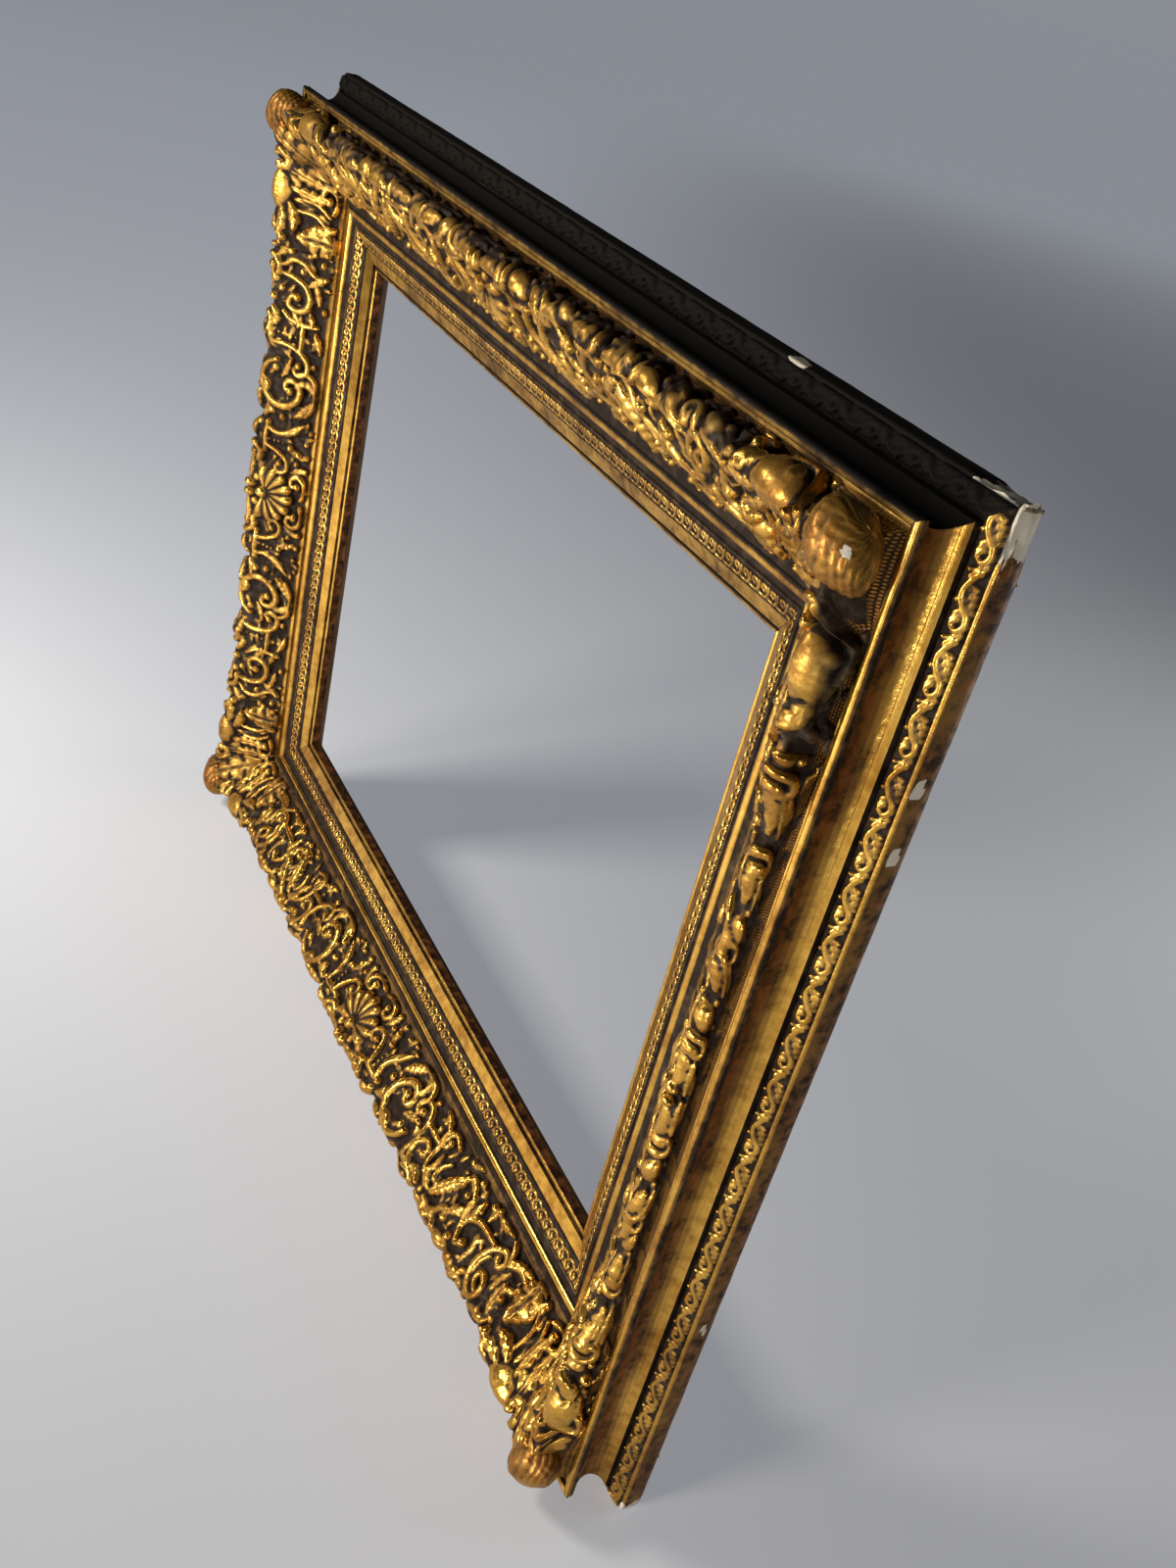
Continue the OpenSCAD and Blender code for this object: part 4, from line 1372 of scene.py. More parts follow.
def near_middle() -> list[Motif]:
    """Motifs that both kinds of member share, from the middle outward along the bed."""
    return [
        # shell and its guards
        Cushion(((0, 92), (0, 66)), 26),
        Fan((0, 88), -90, 27, 112, 9, 1.12, 3.4),
        Pearls(((0, 89),), 4.6, 1.30),
        Pearls(((4.5, 101),), 3.6, 1.28),
        Pearls(((11.5, 96),), 3.6, 1.05),
        Leaf((14, 92), 8, 17, 8, (0.9, 1.0), 40, 3),
        Scroll(((45, 91), (41, 80), (35, 72), (27, 71), (23, 77), (27, 82), (31, 79)), 1.9, 0.92),
        Scroll(((4, 53), (11, 50.5), (19, 52), (24, 58), (21, 64), (15, 63), (15, 58)), 2.0, 0.95),
        Leaf((26, 66), -60, 17, 7, (0.8, 0.95), -25, 3),
        Pearls(((13, 58), (35, 62), (43, 52), (30, 52)), 2.2, 0.9),
        Pearls(((35, 84), (38, 66)), 1.6, 0.8),
        Leaf((30, 101), 175, 15, 8, (0.95, 1.02), -20, 3),
        # strap panel with its pearls
        Cushion(((50, 98), (51, 60)), 13),
        Scroll(((38, 93), (46, 91.5), (56, 92), (64, 93)), 1.7, 0.93),
        Scroll(((61, 93), (58, 83), (60, 75), (66, 67), (71, 58)), 1.7, 0.90, False),
        Pearls(((50, 88), (50, 84), (50.5, 80), (50.5, 76)), 1.35, 0.72),
        Leaf((57, 78), -62, 21, 7.5, (0.8, 0.98), 12, 3),
        Pearls(((62, 100.5), (44, 60), (48, 68)), 2.7, 0.98),
        Leaf((46, 70), -100, 16, 7, (0.75, 0.9), -20, 3),
        Pearls(((55, 54),), 1.9, 0.85),
        # round medallion of scrolls
        Cushion(((103, 80), (98, 76)), 26),
        Scroll(
            ((121, 90), (116, 98), (106, 102.5), (95, 101), (86, 94), (82.5, 84), (85, 74), (92, 66.5),
             (101, 65), (107, 70), (106, 77), (100, 78), (98, 73.5)), 2.5, 1.02),
        Scroll(((87, 91), (90, 97), (98, 98.5)), 1.2, 1.0, False),
        Scroll(
            ((135, 93), (136, 82), (133, 71), (126, 63), (117, 62), (113, 68), (117, 73), (121, 70)),
            2.1, 0.95),
        Scroll(((114, 70), (116, 61), (110, 53), (99, 50.5), (88, 53), (80, 58)), 2.0, 0.92, False),
        Leaf((99, 52), 2, 24, 8.5, (0.9, 1.05), 158, 4),
        Leaf((92, 54), 150, 20, 9, (0.95, 1.08), -25, 4),
        Leaf((109, 83), -38, 17, 8, (0.78, 0.95), 40, 3),
        Pearls(((114, 90),), 3.3, 0.95),
        Pearls(((76, 91), (73, 80)), 3.4, 0.98),
        Leaf((70, 98), -35, 15, 7.5, (0.9, 1.0), 35, 3),
        Leaf((86, 84), -120, 14, 6, (0.8, 0.95), 30, 3),
        Pearls(((104, 56.5), (66, 51), (124, 56)), 2.0, 0.86),
        # strap with pearls
        Cushion(((143, 96), (144, 62)), 13),
        Scroll(((132, 69.5), (144, 69), (157, 70)), 1.7, 0.90, False),
        Scroll(((163, 88), (157, 80), (156, 68), (157, 57)), 1.7, 0.9, False),
        Pearls(((144, 91), (144, 87), (144, 83), (144, 79), (144, 75)), 1.35, 0.7),
        Pearls(((143, 63), (143, 58.5)), 1.5, 0.78),
        Leaf((150, 95), -8, 15, 7, (0.85, 0.98), 45, 3),
        Leaf((131, 97), 10, 15, 7, (0.85, 0.98), -20, 3),
        Leaf((136, 52), 12, 17, 6.5, (0.8, 0.95), 20, 3),
    ]


def short_end() -> list[Motif]:
    """Motifs of the short members between the strap and the corner's boss."""
    return [
        Cushion(((166, 92), (186, 76), (204, 82)), 17),
        Leaf((165, 80), -150, 10, 6.5, (0.85, 1.0), 20, 2),
        Leaf((163, 73), 170, 10, 6.5, (0.85, 1.0), 10, 2),
        Leaf((166, 65), -160, 11, 6.5, (0.85, 1.0), 0, 2),
        Scroll(
            ((193, 92), (192, 80), (187, 70), (178, 66), (169, 69), (166, 77), (170, 84), (177, 82),
             (177, 77)), 2.1, 0.95),
        Leaf((188, 68), -48, 19, 8, (0.8, 1.0), -20, 3),
        Pearls(((181, 92), (199, 74)), 3.0, 0.96),
        Pearls(((172, 99), (187, 101), (203, 98)), 3.2, 1.0),
        Leaf((176, 58), 8, 19, 7, (0.8, 0.95), 16, 3),
        Scroll(((200, 92), (206, 84), (205, 74), (199, 66), (196, 60)), 1.8, 0.88, False),
        Leaf((207, 97), -50, 14, 8, (0.95, 1.05), 20, 2),
        Pearls(((212, 87), (171, 52), (208, 58), (213, 70)), 2.9, 0.92),
    ]


def long_end() -> list[Motif]:
    """Motifs of the long members between the strap and the corner's boss."""
    return [
        Cushion(((165, 90), (185, 76), (205, 80)), 17),
        Scroll(((150, 99), (141, 92), (139, 83), (145, 76), (152, 79), (151, 84)), 2.0, 0.92),
        Leaf((176, 92), -160, 15, 9, (0.85, 1.0), 35, 3),
        Scroll(((170, 58), (160, 55), (153, 59), (154, 66), (160, 67), (161, 62)), 1.9, 0.9),
        Leaf((164, 72), 60, 15, 8, (0.8, 0.95), 40, 3),
        Leaf((181, 90), -58, 34, 12, (0.95, 1.12), -8, 6, 0.16),
        Scroll(((178, 98), (186, 100), (194, 96), (199, 88), (204, 85), (206, 90)), 2.0, 0.96),
        Leaf((202, 92), -70, 22, 9, (0.85, 1.0), 30, 3),
        Scroll(((176, 68), (172, 76), (174, 84), (180, 84)), 1.6, 0.85),
        Leaf((196, 58), 10, 18, 7.5, (0.85, 1.0), 25, 3),
        Pearls(((188, 53), (207, 54), (172, 97), (206, 68)), 2.7, 0.94),
        Leaf((213, 64), 70, 19, 9.5, (0.9, 1.04), -10, 3),
        Leaf((221, 60), 78, 16, 8.5, (0.9, 1.04), 10, 3),
        # second strap panel
        Cushion(((236, 96), (238, 60)), 15),
        Scroll(((254, 67), (242, 66.5), (231, 68), (222, 75), (221, 84), (228, 90), (233, 86)), 1.9, 0.93),
        Scroll(((220, 76), (212, 80), (207, 77)), 1.6, 0.85, False),
        Pearls(((242, 94), (241, 89), (241.5, 84), (242, 79), (242, 74)), 1.45, 0.74),
        Pearls(((246, 62), (246, 57)), 1.6, 0.8),
        Leaf((234, 62), -98, 14, 7, (0.8, 0.95), 30, 3),
        Leaf((226, 101), 5, 20, 8, (0.9, 1.0), -25, 3),
        Pearls(((218, 96), (229, 54), (250, 98)), 3.0, 0.98),
        Leaf((238, 53), 5, 19, 7, (0.85, 1.0), -20, 3),
        # large medallion
        Cushion(((276, 79),), 27),
        Scroll(
            ((268, 92), (262, 88), (264, 82), (271, 85), (272, 93), (266, 99), (258, 96), (252.5, 87),
             (252, 77), (256, 67), (264, 61.5), (271, 65), (268, 71), (264, 68)), 2.2, 0.98),
        Scroll(((257, 88), (255.5, 80), (258, 72)), 1.1, 1.0, False),
        Scroll(
            ((283, 100), (292, 95), (298, 86), (298, 76), (292, 70), (286, 73), (288, 79)), 2.2, 0.98),
        Scroll(((274, 64), (268, 57), (262, 52)), 1.8, 0.9, False),
        Scroll(((274, 63), (283, 58), (294, 60), (299, 66)), 1.8, 0.92, False),
        Leaf((288, 92), -112, 22, 10, (0.82, 1.0), 18, 4),
        Leaf((270, 102), -12, 19, 8, (0.9, 1.02), -15, 3),
        Leaf((278, 66), 105, 16, 8, (0.8, 0.95), -30, 3),
        Leaf((292, 54), 168, 22, 7.5, (0.85, 1.0), -12, 4),
        Pearls(((303, 94), (303, 74), (256, 103)), 2.5, 0.92),
    ]


def corner_half() -> list[Motif]:
    """Motifs of half a corner, by distances past the sight corner and along the bank."""
    return [
        Cushion(((0, 94), (30, 100), (56, 96)), 26),
        Leaf((3, 50), 82, 30, 24, (1.05, 1.30), 14, 3, 0.14),
        Leaf((15, 52), 104, 19, 10, (1.0, 1.15), 20, 3),
        Pearls(((-5, 55), (-7, 66)), 2.6, 0.95),
        Scroll(((16, 60), (22, 70), (23, 84)), 1.2, 0.85, False),
        Scroll(((24, 57), (31, 69), (32, 82)), 1.2, 0.85, False),
        Scroll(((28, 54), (37, 50.5), (45, 53), (46, 62), (39, 65), (36, 59)), 2.3, 1.0),
        Leaf((36, 60), 92, 30, 11, (0.95, 1.15), -18, 4),
        Leaf((46, 64), 80, 34, 13, (1.0, 1.25), -16, 5),
        # swollen leaf on the crest, its folded end and the ring with a hollow
        Dome((35, 104), 168, 20, 14, 1.34, 4.5),
        Leaf((22, 98), 196, 22, 10, (1.05, 1.2), -40, 3),
        Leaf((22, 107), 186, 20, 9, (1.0, 1.2), 30, 3),
        Leaf((26, 92), 215, 20, 9, (0.95, 1.1), -40, 3),
        Pearls(((4, 112), (-1, 96)), 3.2, 1.1),
        Scroll(
            ((34, 113), (43, 116), (53, 115), (61, 108), (64, 98), (60, 91), (54, 92), (54, 98)),
            2.9, 1.45),
        Pearls(((43, 108),), 4.2, 1.4),
        Leaf((38, 84), 20, 18, 9, (0.95, 1.15), 30, 3),
        # pointed leaves toward the tip
        Leaf((56, 118), -70, 14, 7, (0.95, 1.1), 40, 2),
        Leaf((62, 124), -16, 26, 10, (0.9, 1.25), -14, 4),
        Leaf((64, 115), -8, 28, 12, (1.0, 1.35), -10, 4),
        Leaf((66, 106), 4, 28, 12, (1.0, 1.35), 10, 4),
        Leaf((76, 122), -36, 20, 9, (0.9, 1.2), -10, 3),
        Leaf((62, 92), 72, 34, 10, (1.05, 1.25), -14, 4),
        Leaf((70, 96), 64, 32, 10, (1.1, 1.3), -10, 4),
        Leaf((58, 82), 60, 24, 11, (1.05, 1.25), 20, 4),
        Pearls(((36, 122), (24, 123)), 2.4, 0.95),
        Leaf((44, 119), 60, 15, 8, (0.95, 1.1), -50, 3),
        Leaf((8, 118), 130, 14, 8, (0.9, 1.05), 40, 3),
    ]


def on_mitre() -> list[Motif]:
    """Motifs that lie on the mitre line itself."""
    return [
        Leaf((47, 47), 45, 50, 25, (1.05, 1.45), 0, 5, 0.20),
        Pearls(((51, 51),), 4.0, 1.25),
    ]


def husks(start: float, end: float, seed: int) -> list[Motif]:
    """Bundles of slender leaves, curls and buds that run along the crest and its outer face.

    Args:
        start: Place along the member where they start.
        end: Place where they end.
        seed: Seed of their small differences.

    Returns:
        The motifs.
    """
    draw = np.random.default_rng(seed)
    made: list[Motif] = []
    at, turn = start, 0
    while at < end:
        size, rise, slant = draw.uniform(0.8, 1.2), draw.uniform(-0.05, 0.2), draw.uniform(-26, -8)
        low = draw.uniform(-3, 3)
        if turn % 3 == 0:
            for k in range(3):
                root = (at + 3.0 * k, 117 + low - 6.5 * k)
                tops = (0.8 + rise, 1.02 + rise + 0.06 * k)
                long, wide = draw.uniform(20, 30) * size, draw.uniform(6.0, 8.5) * size
                made.append(Leaf(root, slant + 9 * k, long, wide, tops, draw.uniform(-25, 5), 3))
            made.append(Leaf((at + 8, 113), 74, 13 * size, 6.5, (0.8, 1.0), -50, 2))
            at += 25.0 * size
        elif turn % 3 == 1:
            x, y = at, 104 + low
            curl = ((x, y - 6), (x + 8, y - 7), (x + 13, y - 1), (x + 11, y + 6), (x + 5, y + 7),
                    (x + 2, y + 3), (x + 5, y))
            made.append(Scroll(curl, 2.0 * size, 0.95 + rise))
            made.append(Leaf((x + 2, y + 14), 12, 15 * size, 7.5, (0.8, 1.0), 30, 2))
            at += 17.0 * size
        else:
            made.append(Dome((at + 7, 105 + low), -14, 11.5 * size, 5.4 * size, 1.02 + rise, 4.0))
            made.append(Pearls(((at + 1, 113 + low), (at + 17, 109)), 2.5 * size, 0.9))
            made.append(Leaf((at + 10, 115), 60, 12, 6, (0.75, 0.95), 40, 2))
            at += 19.0 * size
        turn += 1
    return made


def undergrowth(start: float, end: float, seed: int) -> list[Motif]:
    """Low small leaves that fill the ground between the larger motifs."""
    draw = np.random.default_rng(seed)
    made: list[Motif] = []
    for _ in range(int((end - start) * 0.52)):
        root = (draw.uniform(start, end), draw.uniform(56, 112))
        aim, bend = draw.uniform(0, 360), draw.uniform(-70, 70)
        size = draw.uniform(9.0, 16.0)
        made.append(Leaf(root, aim, size, size * 0.5, (0.62, 0.78), bend, 2))
    return made


class Carving:
    """The whole ornament as a function of the plan."""

    rest_share = 0.88
    swell_share = 0.14
    low_relief = 4.6
    gain = 11.0

    def __init__(self) -> None:
        """Collects the motifs of each stretch."""
        shared = near_middle() + husks(0, 160, 5) + undergrowth(12, 160, 6)
        self.long = shared + long_end() + husks(163, 296, 7) + undergrowth(160, 304, 8)
        self.short = shared + short_end() + husks(163, 216, 9) + undergrowth(160, 224, 10)
        self.corner = corner_half() + undergrowth(0, 66, 12)

    def half(self, side: Side, s: np.ndarray, o: np.ndarray) -> Relief:
        """Relief of a member where its plan points lie, alike on both sides of the middle.

        Args:
            side: The member.
            s: Places along it.
            o: Places outward.

        Returns:
            The raised relief.
        """
        relief = Relief(np.abs(s), BANK.lay(o), self.low_relief, self.gain)
        for motif in self.long if side.half > SECTION.sight_h / 2 else self.short:
            motif.raise_on(relief)
        relief.x = np.abs(s) - side.half
        for motif in self.corner:
            motif.raise_on(relief)
        return relief

    def corner_field(self, a: np.ndarray, b: np.ndarray) -> Relief:
        """Relief of a corner, the same on both sides of its mitre."""
        relief = Relief(a, b, self.low_relief, self.gain)
        for motif in on_mitre():
            motif.raise_on(relief)
        for first, second in ((a, b), (b, a)):
            relief.x, relief.y = first, BANK.lay(second)
            for motif in self.corner:
                motif.raise_on(relief)
        return relief

    def ground(self, relief: Relief, o: np.ndarray) -> np.ndarray:
        """Height over the bed of the bank, which swells under the groups of motifs."""
        return BANK.over(o) * (self.rest_share + self.swell_share * relief.swell)


def cast_marks(relief: Relief, reach: int) -> dict[str, np.ndarray]:
    """Marks of cast ornament: high and convex places are bright, pits keep their dirt.

    Args:
        relief: The raised relief.
        reach: Half window, in grid cells, of the average it is set against.

    Returns:
        The marks by name.
    """
    swell = relief.z - relief.blur(reach)
    stand = ease(relief.z, 0.8, 3.4)
    crevice = ease(-swell, 0.1, 0.8)
    wear = stand * (0.55 + 0.18 * np.clip(swell, -1, 1.5)) * (1 - 0.95 * crevice)
    rub = ease(swell, 0.9, 2.4) * 0.08 + 0.26 * stand
    low = 1 - ease(relief.z, 0.2, 1.2)
    outer = ease(relief.y, 117.0, 121.0)
    wear = np.clip(wear + 0.06 + 0.34 * low * outer, 0, 1)
    return shader_marks(wear, wear=wear, rub=rub, grit=low * (1 - outer) * 0.8, net=low * outer)


# Share of painted shade on each member's cast ornament: none on the right, most on the left.
PAINTED_SHADE_BY_SIDE = {Side.TOP: 0.2, Side.RIGHT: 0.0, Side.BOTTOM: 0.14, Side.LEFT: 0.28}
GROUND_SINK = 0.5
BLOCK_DEPTH = 1.6
CELL = 0.68
CELL_ACROSS = CELL * 1.16
BED_INNER = 48.3
BED_OUTER = 105.2
CORNER_START = -8.0
SHELL_HALF = 34.0
ACROSS_MITRE = np.array([0.7071, -0.7071, 0.0])
INTO_MITRE = np.array([-0.7071, -0.7071, 0.0])
FORWARD = np.array([0.0, 0.0, 1.0])


def round_grid(low: float, high: float, rows: int, cols: int) -> list[np.ndarray]:
    """Grid of a first parameter between two ends and of a full turn.

    Args:
        low: First value of the parameter.
        high: Its last value.
        rows: Number of its values.
        cols: Number of steps round the turn.

    Returns:
        The parameter and the turn at each point of the grid.
    """
    turns = np.linspace(0, 2 * math.pi, cols, endpoint=False)
    return np.meshgrid(np.linspace(low, high, rows), turns, indexing="ij")


class Block:
    """Closed block: a grid on top, walls down from its rim and an underside."""

    def __init__(self, rows: int, cols: int, fold: int | None = None) -> None:
        """Numbers the points: those of the top, then those below its rim.

        Args:
            rows: Number of rows of the top's grid.
            cols: Number of points in a row.
            fold: Row of the grid at which the underside folds, or None.
        """
        number = np.arange(rows * cols).reshape(rows, cols)
        edges = [number[0, :-1], number[:-1, -1], number[-1, :0:-1], number[:0:-1, 0]]
        self.rim = np.concatenate(edges)
        under = np.arange(len(self.rim)) + rows * cols
        walls = np.stack([self.rim, np.roll(self.rim, -1), np.roll(under, -1), under], axis=-1)
        self.quads = np.concatenate([grid_quads(rows, cols)[:, ::-1], walls])
        self.caps = [under]
        if fold is not None:
            far = cols - 1 + fold
            near = 2 * (cols - 1) + (rows - 1) + (rows - 1 - fold)
            self.caps = [np.concatenate([under[: far + 1], under[near:]]), under[far : near + 1]]

    def pick(self, top: np.ndarray, below: np.ndarray | None = None) -> np.ndarray:
        """Values of the top's points, then of those below its rim: the same unless given."""
        lower = top if below is None else below
        return np.concatenate([top.ravel(), lower.ravel()[self.rim]])


def carved_block(
    place: Callable[[np.ndarray, np.ndarray, np.ndarray], np.ndarray],
    x: np.ndarray,
    y: np.ndarray,
    o: np.ndarray,
    ground: np.ndarray,
    relief: Relief,
    lean: tuple[np.ndarray, np.ndarray],
    upright: np.ndarray,
    painted_shade: np.ndarray,
    fold: int | None = None,
) -> Skin:
    """Closed block whose top is a relief on the bank and whose underside lies in the moulding.

    The top's points stand on the bed's plane by the bank's height less a small sink, so that
    flat ground stays inside the moulding, and the relief moves them along the bank's normal.
    Walls drop from its rim to a plane below the bed.

    Args:
        place: Function that puts plan points and heights into the row frame.
        x: First plan coordinate, in a grid.
        y: Second plan coordinate.
        o: Outward place of each point.
        ground: Height of the bank over the bed.
        relief: The raised relief on the same grid.
        lean: Parts of the normal along the first and second plan coordinate.
        upright: Forward part of the normal.
        painted_shade: Share of painted shade that darkens it.
        fold: Row of the grid at which the underside folds, or None.

    Returns:
        The block's arrays.
    """
    relief.z = relief.blur(1, 1) * 0.4 + relief.z * 0.6
    relief.z = relief.z * (1 - 0.35 * ease(relief.y, 112.0, 121.0))
    marks = cast_marks(relief, 4)
    # Darkens the marks by the painted shade.
    paint_shade(marks, painted_shade)
    out = relief.z + waver(x, y, 3, 0.16, 2.3) * ease(ground + relief.z, 0.6, 3.0)
    top = SECTION.bed(o) + ground + out * upright - GROUND_SINK
    low = SECTION.bed(o) - BLOCK_DEPTH
    block = Block(*x.shape, fold)
    pick = block.pick
    points = place(pick(x + out * lean[0], x), pick(y + out * lean[1], y), pick(top, low))
    plan = np.stack([pick(relief.x), pick(relief.y)], axis=-1)
    return Skin(points, block.quads, plan, block.caps, {n: pick(v) for n, v in marks.items()})


@dataclass
class BedPiece:
    """A stretch of the cast ornament on one member, between two places along it.

    The right member's ornament is lower and narrower between its corners, and lies further in.
    """

    side: Side
    name: str
    start: float
    end: float
    carving: Carving
    finishes: Finishes
    sag: float = 0.38
    relief_sag: float = 0.26
    drawn_in: float = 4.5

    def sunk(
        self, relief: Relief, ground: np.ndarray, o: np.ndarray
    ) -> tuple[np.ndarray, np.ndarray]:
        """Lowers the relief and the bank between the corners, and draws the crest in.

        Args:
            relief: The raised relief, whose heights change.
            ground: Height of the bank over the bed.
            o: Outward place of each point.

        Returns:
            The lowered ground and the new outward places.
        """
        low = 1 - ease(np.abs(relief.x) - self.side.half, -70.0, -12.0)
        outer_face, inner_face = ease(relief.y, 107.0, 118.0), 1 - ease(relief.y, 64.0, 80.0)
        relief.z = relief.z * (1 - self.relief_sag * low)
        relief.z = relief.z * (1 - 0.6 * low * outer_face) * (1 - 0.85 * low * inner_face)
        shift = self.drawn_in * low * ease(o, 74.0, 93.0) * (1 - ease(o, 98.0, BED_OUTER))
        return ground * (1 - self.sag * low), o - shift

    def skin(self) -> Skin:
        """The stretch as a block on a square grid."""
        rows = int((self.end - self.start) / CELL)
        columns = BANK.columns(BED_INNER, BED_OUTER, CELL_ACROSS)
        s, o = np.meshgrid(np.linspace(self.start, self.end, rows), columns, indexing="ij")
        relief = self.carving.half(self.side, s, o)
        relief.x = s
        ground = self.carving.ground(relief, o)
        shown = o
        if self.side is Side.RIGHT:
            ground, shown = self.sunk(relief, ground, o)
        outward, upright = BANK.normal(o)
        lean = (np.zeros(s.shape), outward)
        # Painted shade: a share for each member, and more on the ornament's outer face, most on the top
        # member.
        outer_face = ease(relief.y, 101.0, 110.0)
        painted_shade = PAINTED_SHADE_BY_SIDE[self.side] + outer_face * (0.6 if self.side is Side.TOP else 0.12)
        return carved_block(self.side.place, s, shown, shown, ground, relief, lean, upright, painted_shade)

    def build(self) -> bpy.types.Object:
        """Dresses the stretch's node."""
        return dress(self.name, "cast", self.skin(), [self.finishes.gilding], "cast_ornament")


@dataclass
class CornerOrnament:
    """The cast ornament on both members' ends at a corner, and its curled leaf tip."""

    corner: Corner
    carving: Carving
    finishes: Finishes
    start: float = CORNER_START
    tip_r: float = 16.2
    tip_wide: float = 1.30
    tip_at: float = 91.0
    tip_h: float = 75.2
    dome_at: float = 82.0
    dome_r: float = 36.0
    dome_h: float = 28.0
    chip_at: Colour = (104.5, 94.0, 84.5)

    def skin(self) -> Skin:
        """Both beds as one grid that folds at the mitre."""
        half = int((BED_OUTER - self.start) / CELL)
        t = np.linspace(0, 1, half)
        columns = BANK.columns(BED_INNER, BED_OUTER, CELL_ACROSS)
        run, o = np.meshgrid(np.concatenate([t, t[-2::-1]]), columns, indexing="ij")
        mirrored = np.broadcast_to((np.arange(2 * half - 1) >= half)[:, None], run.shape)
        past = self.start + run * (o - self.start)
        a = np.where(mirrored, o, past)
        b = np.where(mirrored, past, o)
        relief = self.carving.corner_field(a, b)
        relief.x, relief.y = past, BANK.lay(o)
        far = np.hypot(a - self.dome_at, b - self.dome_at) / self.dome_r
        dome = np.clip(1 - far**2.2, 0, 1)
        dome = dome * (1 - 0.9 * ease(o, 96.0, 105.0))
        ground = np.maximum(self.carving.ground(relief, o), self.dome_h * dome)
        outward, upright = BANK.normal(o)
        share = ease(dome, 0.0, 0.35)
        outward, upright = outward * (1 - share), upright + (1 - upright) * share
        turned = ease(1 - (o - past) / 14.0, 0.0, 1.0)
        size = np.sqrt(1 + turned * turned)
        lesser, greater = outward * turned / size, outward / size
        lean = (np.where(mirrored, greater, lesser), np.where(mirrored, lesser, greater))
        # Painted shade: on the ornament's outer face, heavy on one half of each upper corner and light
        # elsewhere, and a further even share on the left corners.
        upper = 0.75 if self.corner.sign_z > 0 else 0.12
        painted_shade = ease(relief.y, 101.0, 110.0) * np.where(mirrored, upper, 0.12)
        painted_shade = painted_shade + (0.2 if self.corner.sign_x < 0 else 0.0)
        return carved_block(
            self.corner.place, a, b, o, ground, relief, lean, upright, painted_shade, fold=half - 1
        )

    @property
    def tip_middle(self) -> np.ndarray:
        """Middle of the curled tip's ball."""
        return np.array([self.tip_at, self.tip_at, self.tip_h])

    def tip(self) -> Skin:
        """Curled tip: a broad ball whose uneven ribs run from its root over the top.

        The radius of the ball is its size times 1 plus small cosines of the angle round its
        axis. The axis lies over the mitre and leans forward.
        """
        polar, turn = round_grid(0.0, math.pi, 65, 144)
        twist = turn + 0.55 * np.sin(2.2 * polar)
        beat = 7.5 * twist + 1.6 * np.sin(2 * twist) + 0.6 * np.sin(5 * polar)
        ribs = np.abs(np.cos(beat)) ** 0.5
        lobes = np.cos(3 * twist + 0.8) * np.sin(polar) ** 2
        swell = 1 + 0.05 * (ribs - 0.7) * np.sin(polar) + 0.06 * lobes - 0.07 * np.cos(polar) ** 2
        swell = swell + waver(polar * 20, turn * 16 + polar * 9, 21, 0.012, 4.0)
        radius = self.tip_r * swell
        axis = np.array([-0.68, -0.68, 0.10])
        axis = axis / np.linalg.norm(axis)
        up = np.cross(axis, ACROSS_MITRE)
        ring = np.sin(polar) * radius
        point = (
            (np.cos(polar) * radius)[..., None] * axis
            + (ring * np.cos(turn))[..., None] * ACROSS_MITRE * self.tip_wide
            + (ring * np.sin(turn))[..., None] * up
            + self.tip_middle
        )
        return self.rounded(point, 0.40 + 0.18 * ribs)

    def roll(self) -> Skin:
        """Small roll of the leaf's end on the ball: a fat rod with rounded ends and a waist."""
        u, turn = round_grid(-1.0, 1.0, 25, 40)
        radius = 4.6 * np.sqrt(np.clip(1 - u**6, 0, 1)) * (0.90 + 0.10 * u**2)
        middle = self.tip_middle + INTO_MITRE * 13.5 + FORWARD * 5.0
        point = (
            middle
            + (u * 9.0)[..., None] * ACROSS_MITRE
            + (radius * np.cos(turn))[..., None] * INTO_MITRE
            + (radius * np.sin(turn))[..., None] * FORWARD
        )
        return self.rounded(point, np.full(u.shape, 0.7))

    def chip(self, point: np.ndarray) -> np.ndarray:
        """Chalk mark of the ragged chip on the top right tip, and 0 on the others."""
        if self.corner.label != "top_right":
            return np.zeros(point.shape[:2])
        far = np.linalg.norm(point - np.array(self.chip_at), axis=-1)
        ragged = waver(point[..., 0] + point[..., 1], point[..., 2], 41, 1.3, 2.4)
        return 1 - ease(far + ragged, 1.9, 2.8)

    def rounded(self, point: np.ndarray, wear: np.ndarray) -> Skin:
        """Closed skin of a rounded form whose high places are rubbed.

        Args:
            point: Grid of its points, whose first and last rows are small rings or poles.
            wear: Wear at each point.

        Returns:
            The skin, with its faces outward.
        """
        rows, cols = point.shape[:2]
        quads = grid_quads(rows, cols, wrap=True)
        caps = [np.arange(cols)[::-1], np.arange(cols) + (rows - 1) * cols]
        a, b, h = (point[..., axis].ravel() for axis in range(3))
        points = self.corner.place(a, b, h)
        worn = wear.ravel()
        rub = 0.40 + ease(worn, 0.5, 0.6) * 0.15
        marks = shader_marks(worn, wear=worn, rub=rub, chalk=self.chip(point).ravel())
        skin = Skin(points, quads, np.stack([a, b], axis=-1), caps, marks)
        face = points[quads[quads.shape[0] // 2]]
        normal = np.cross(face[1] - face[0], face[3] - face[0])
        inward = np.dot(normal, face.mean(axis=0) - points.mean(axis=0)) < 0
        return skin.flipped() if inward else skin

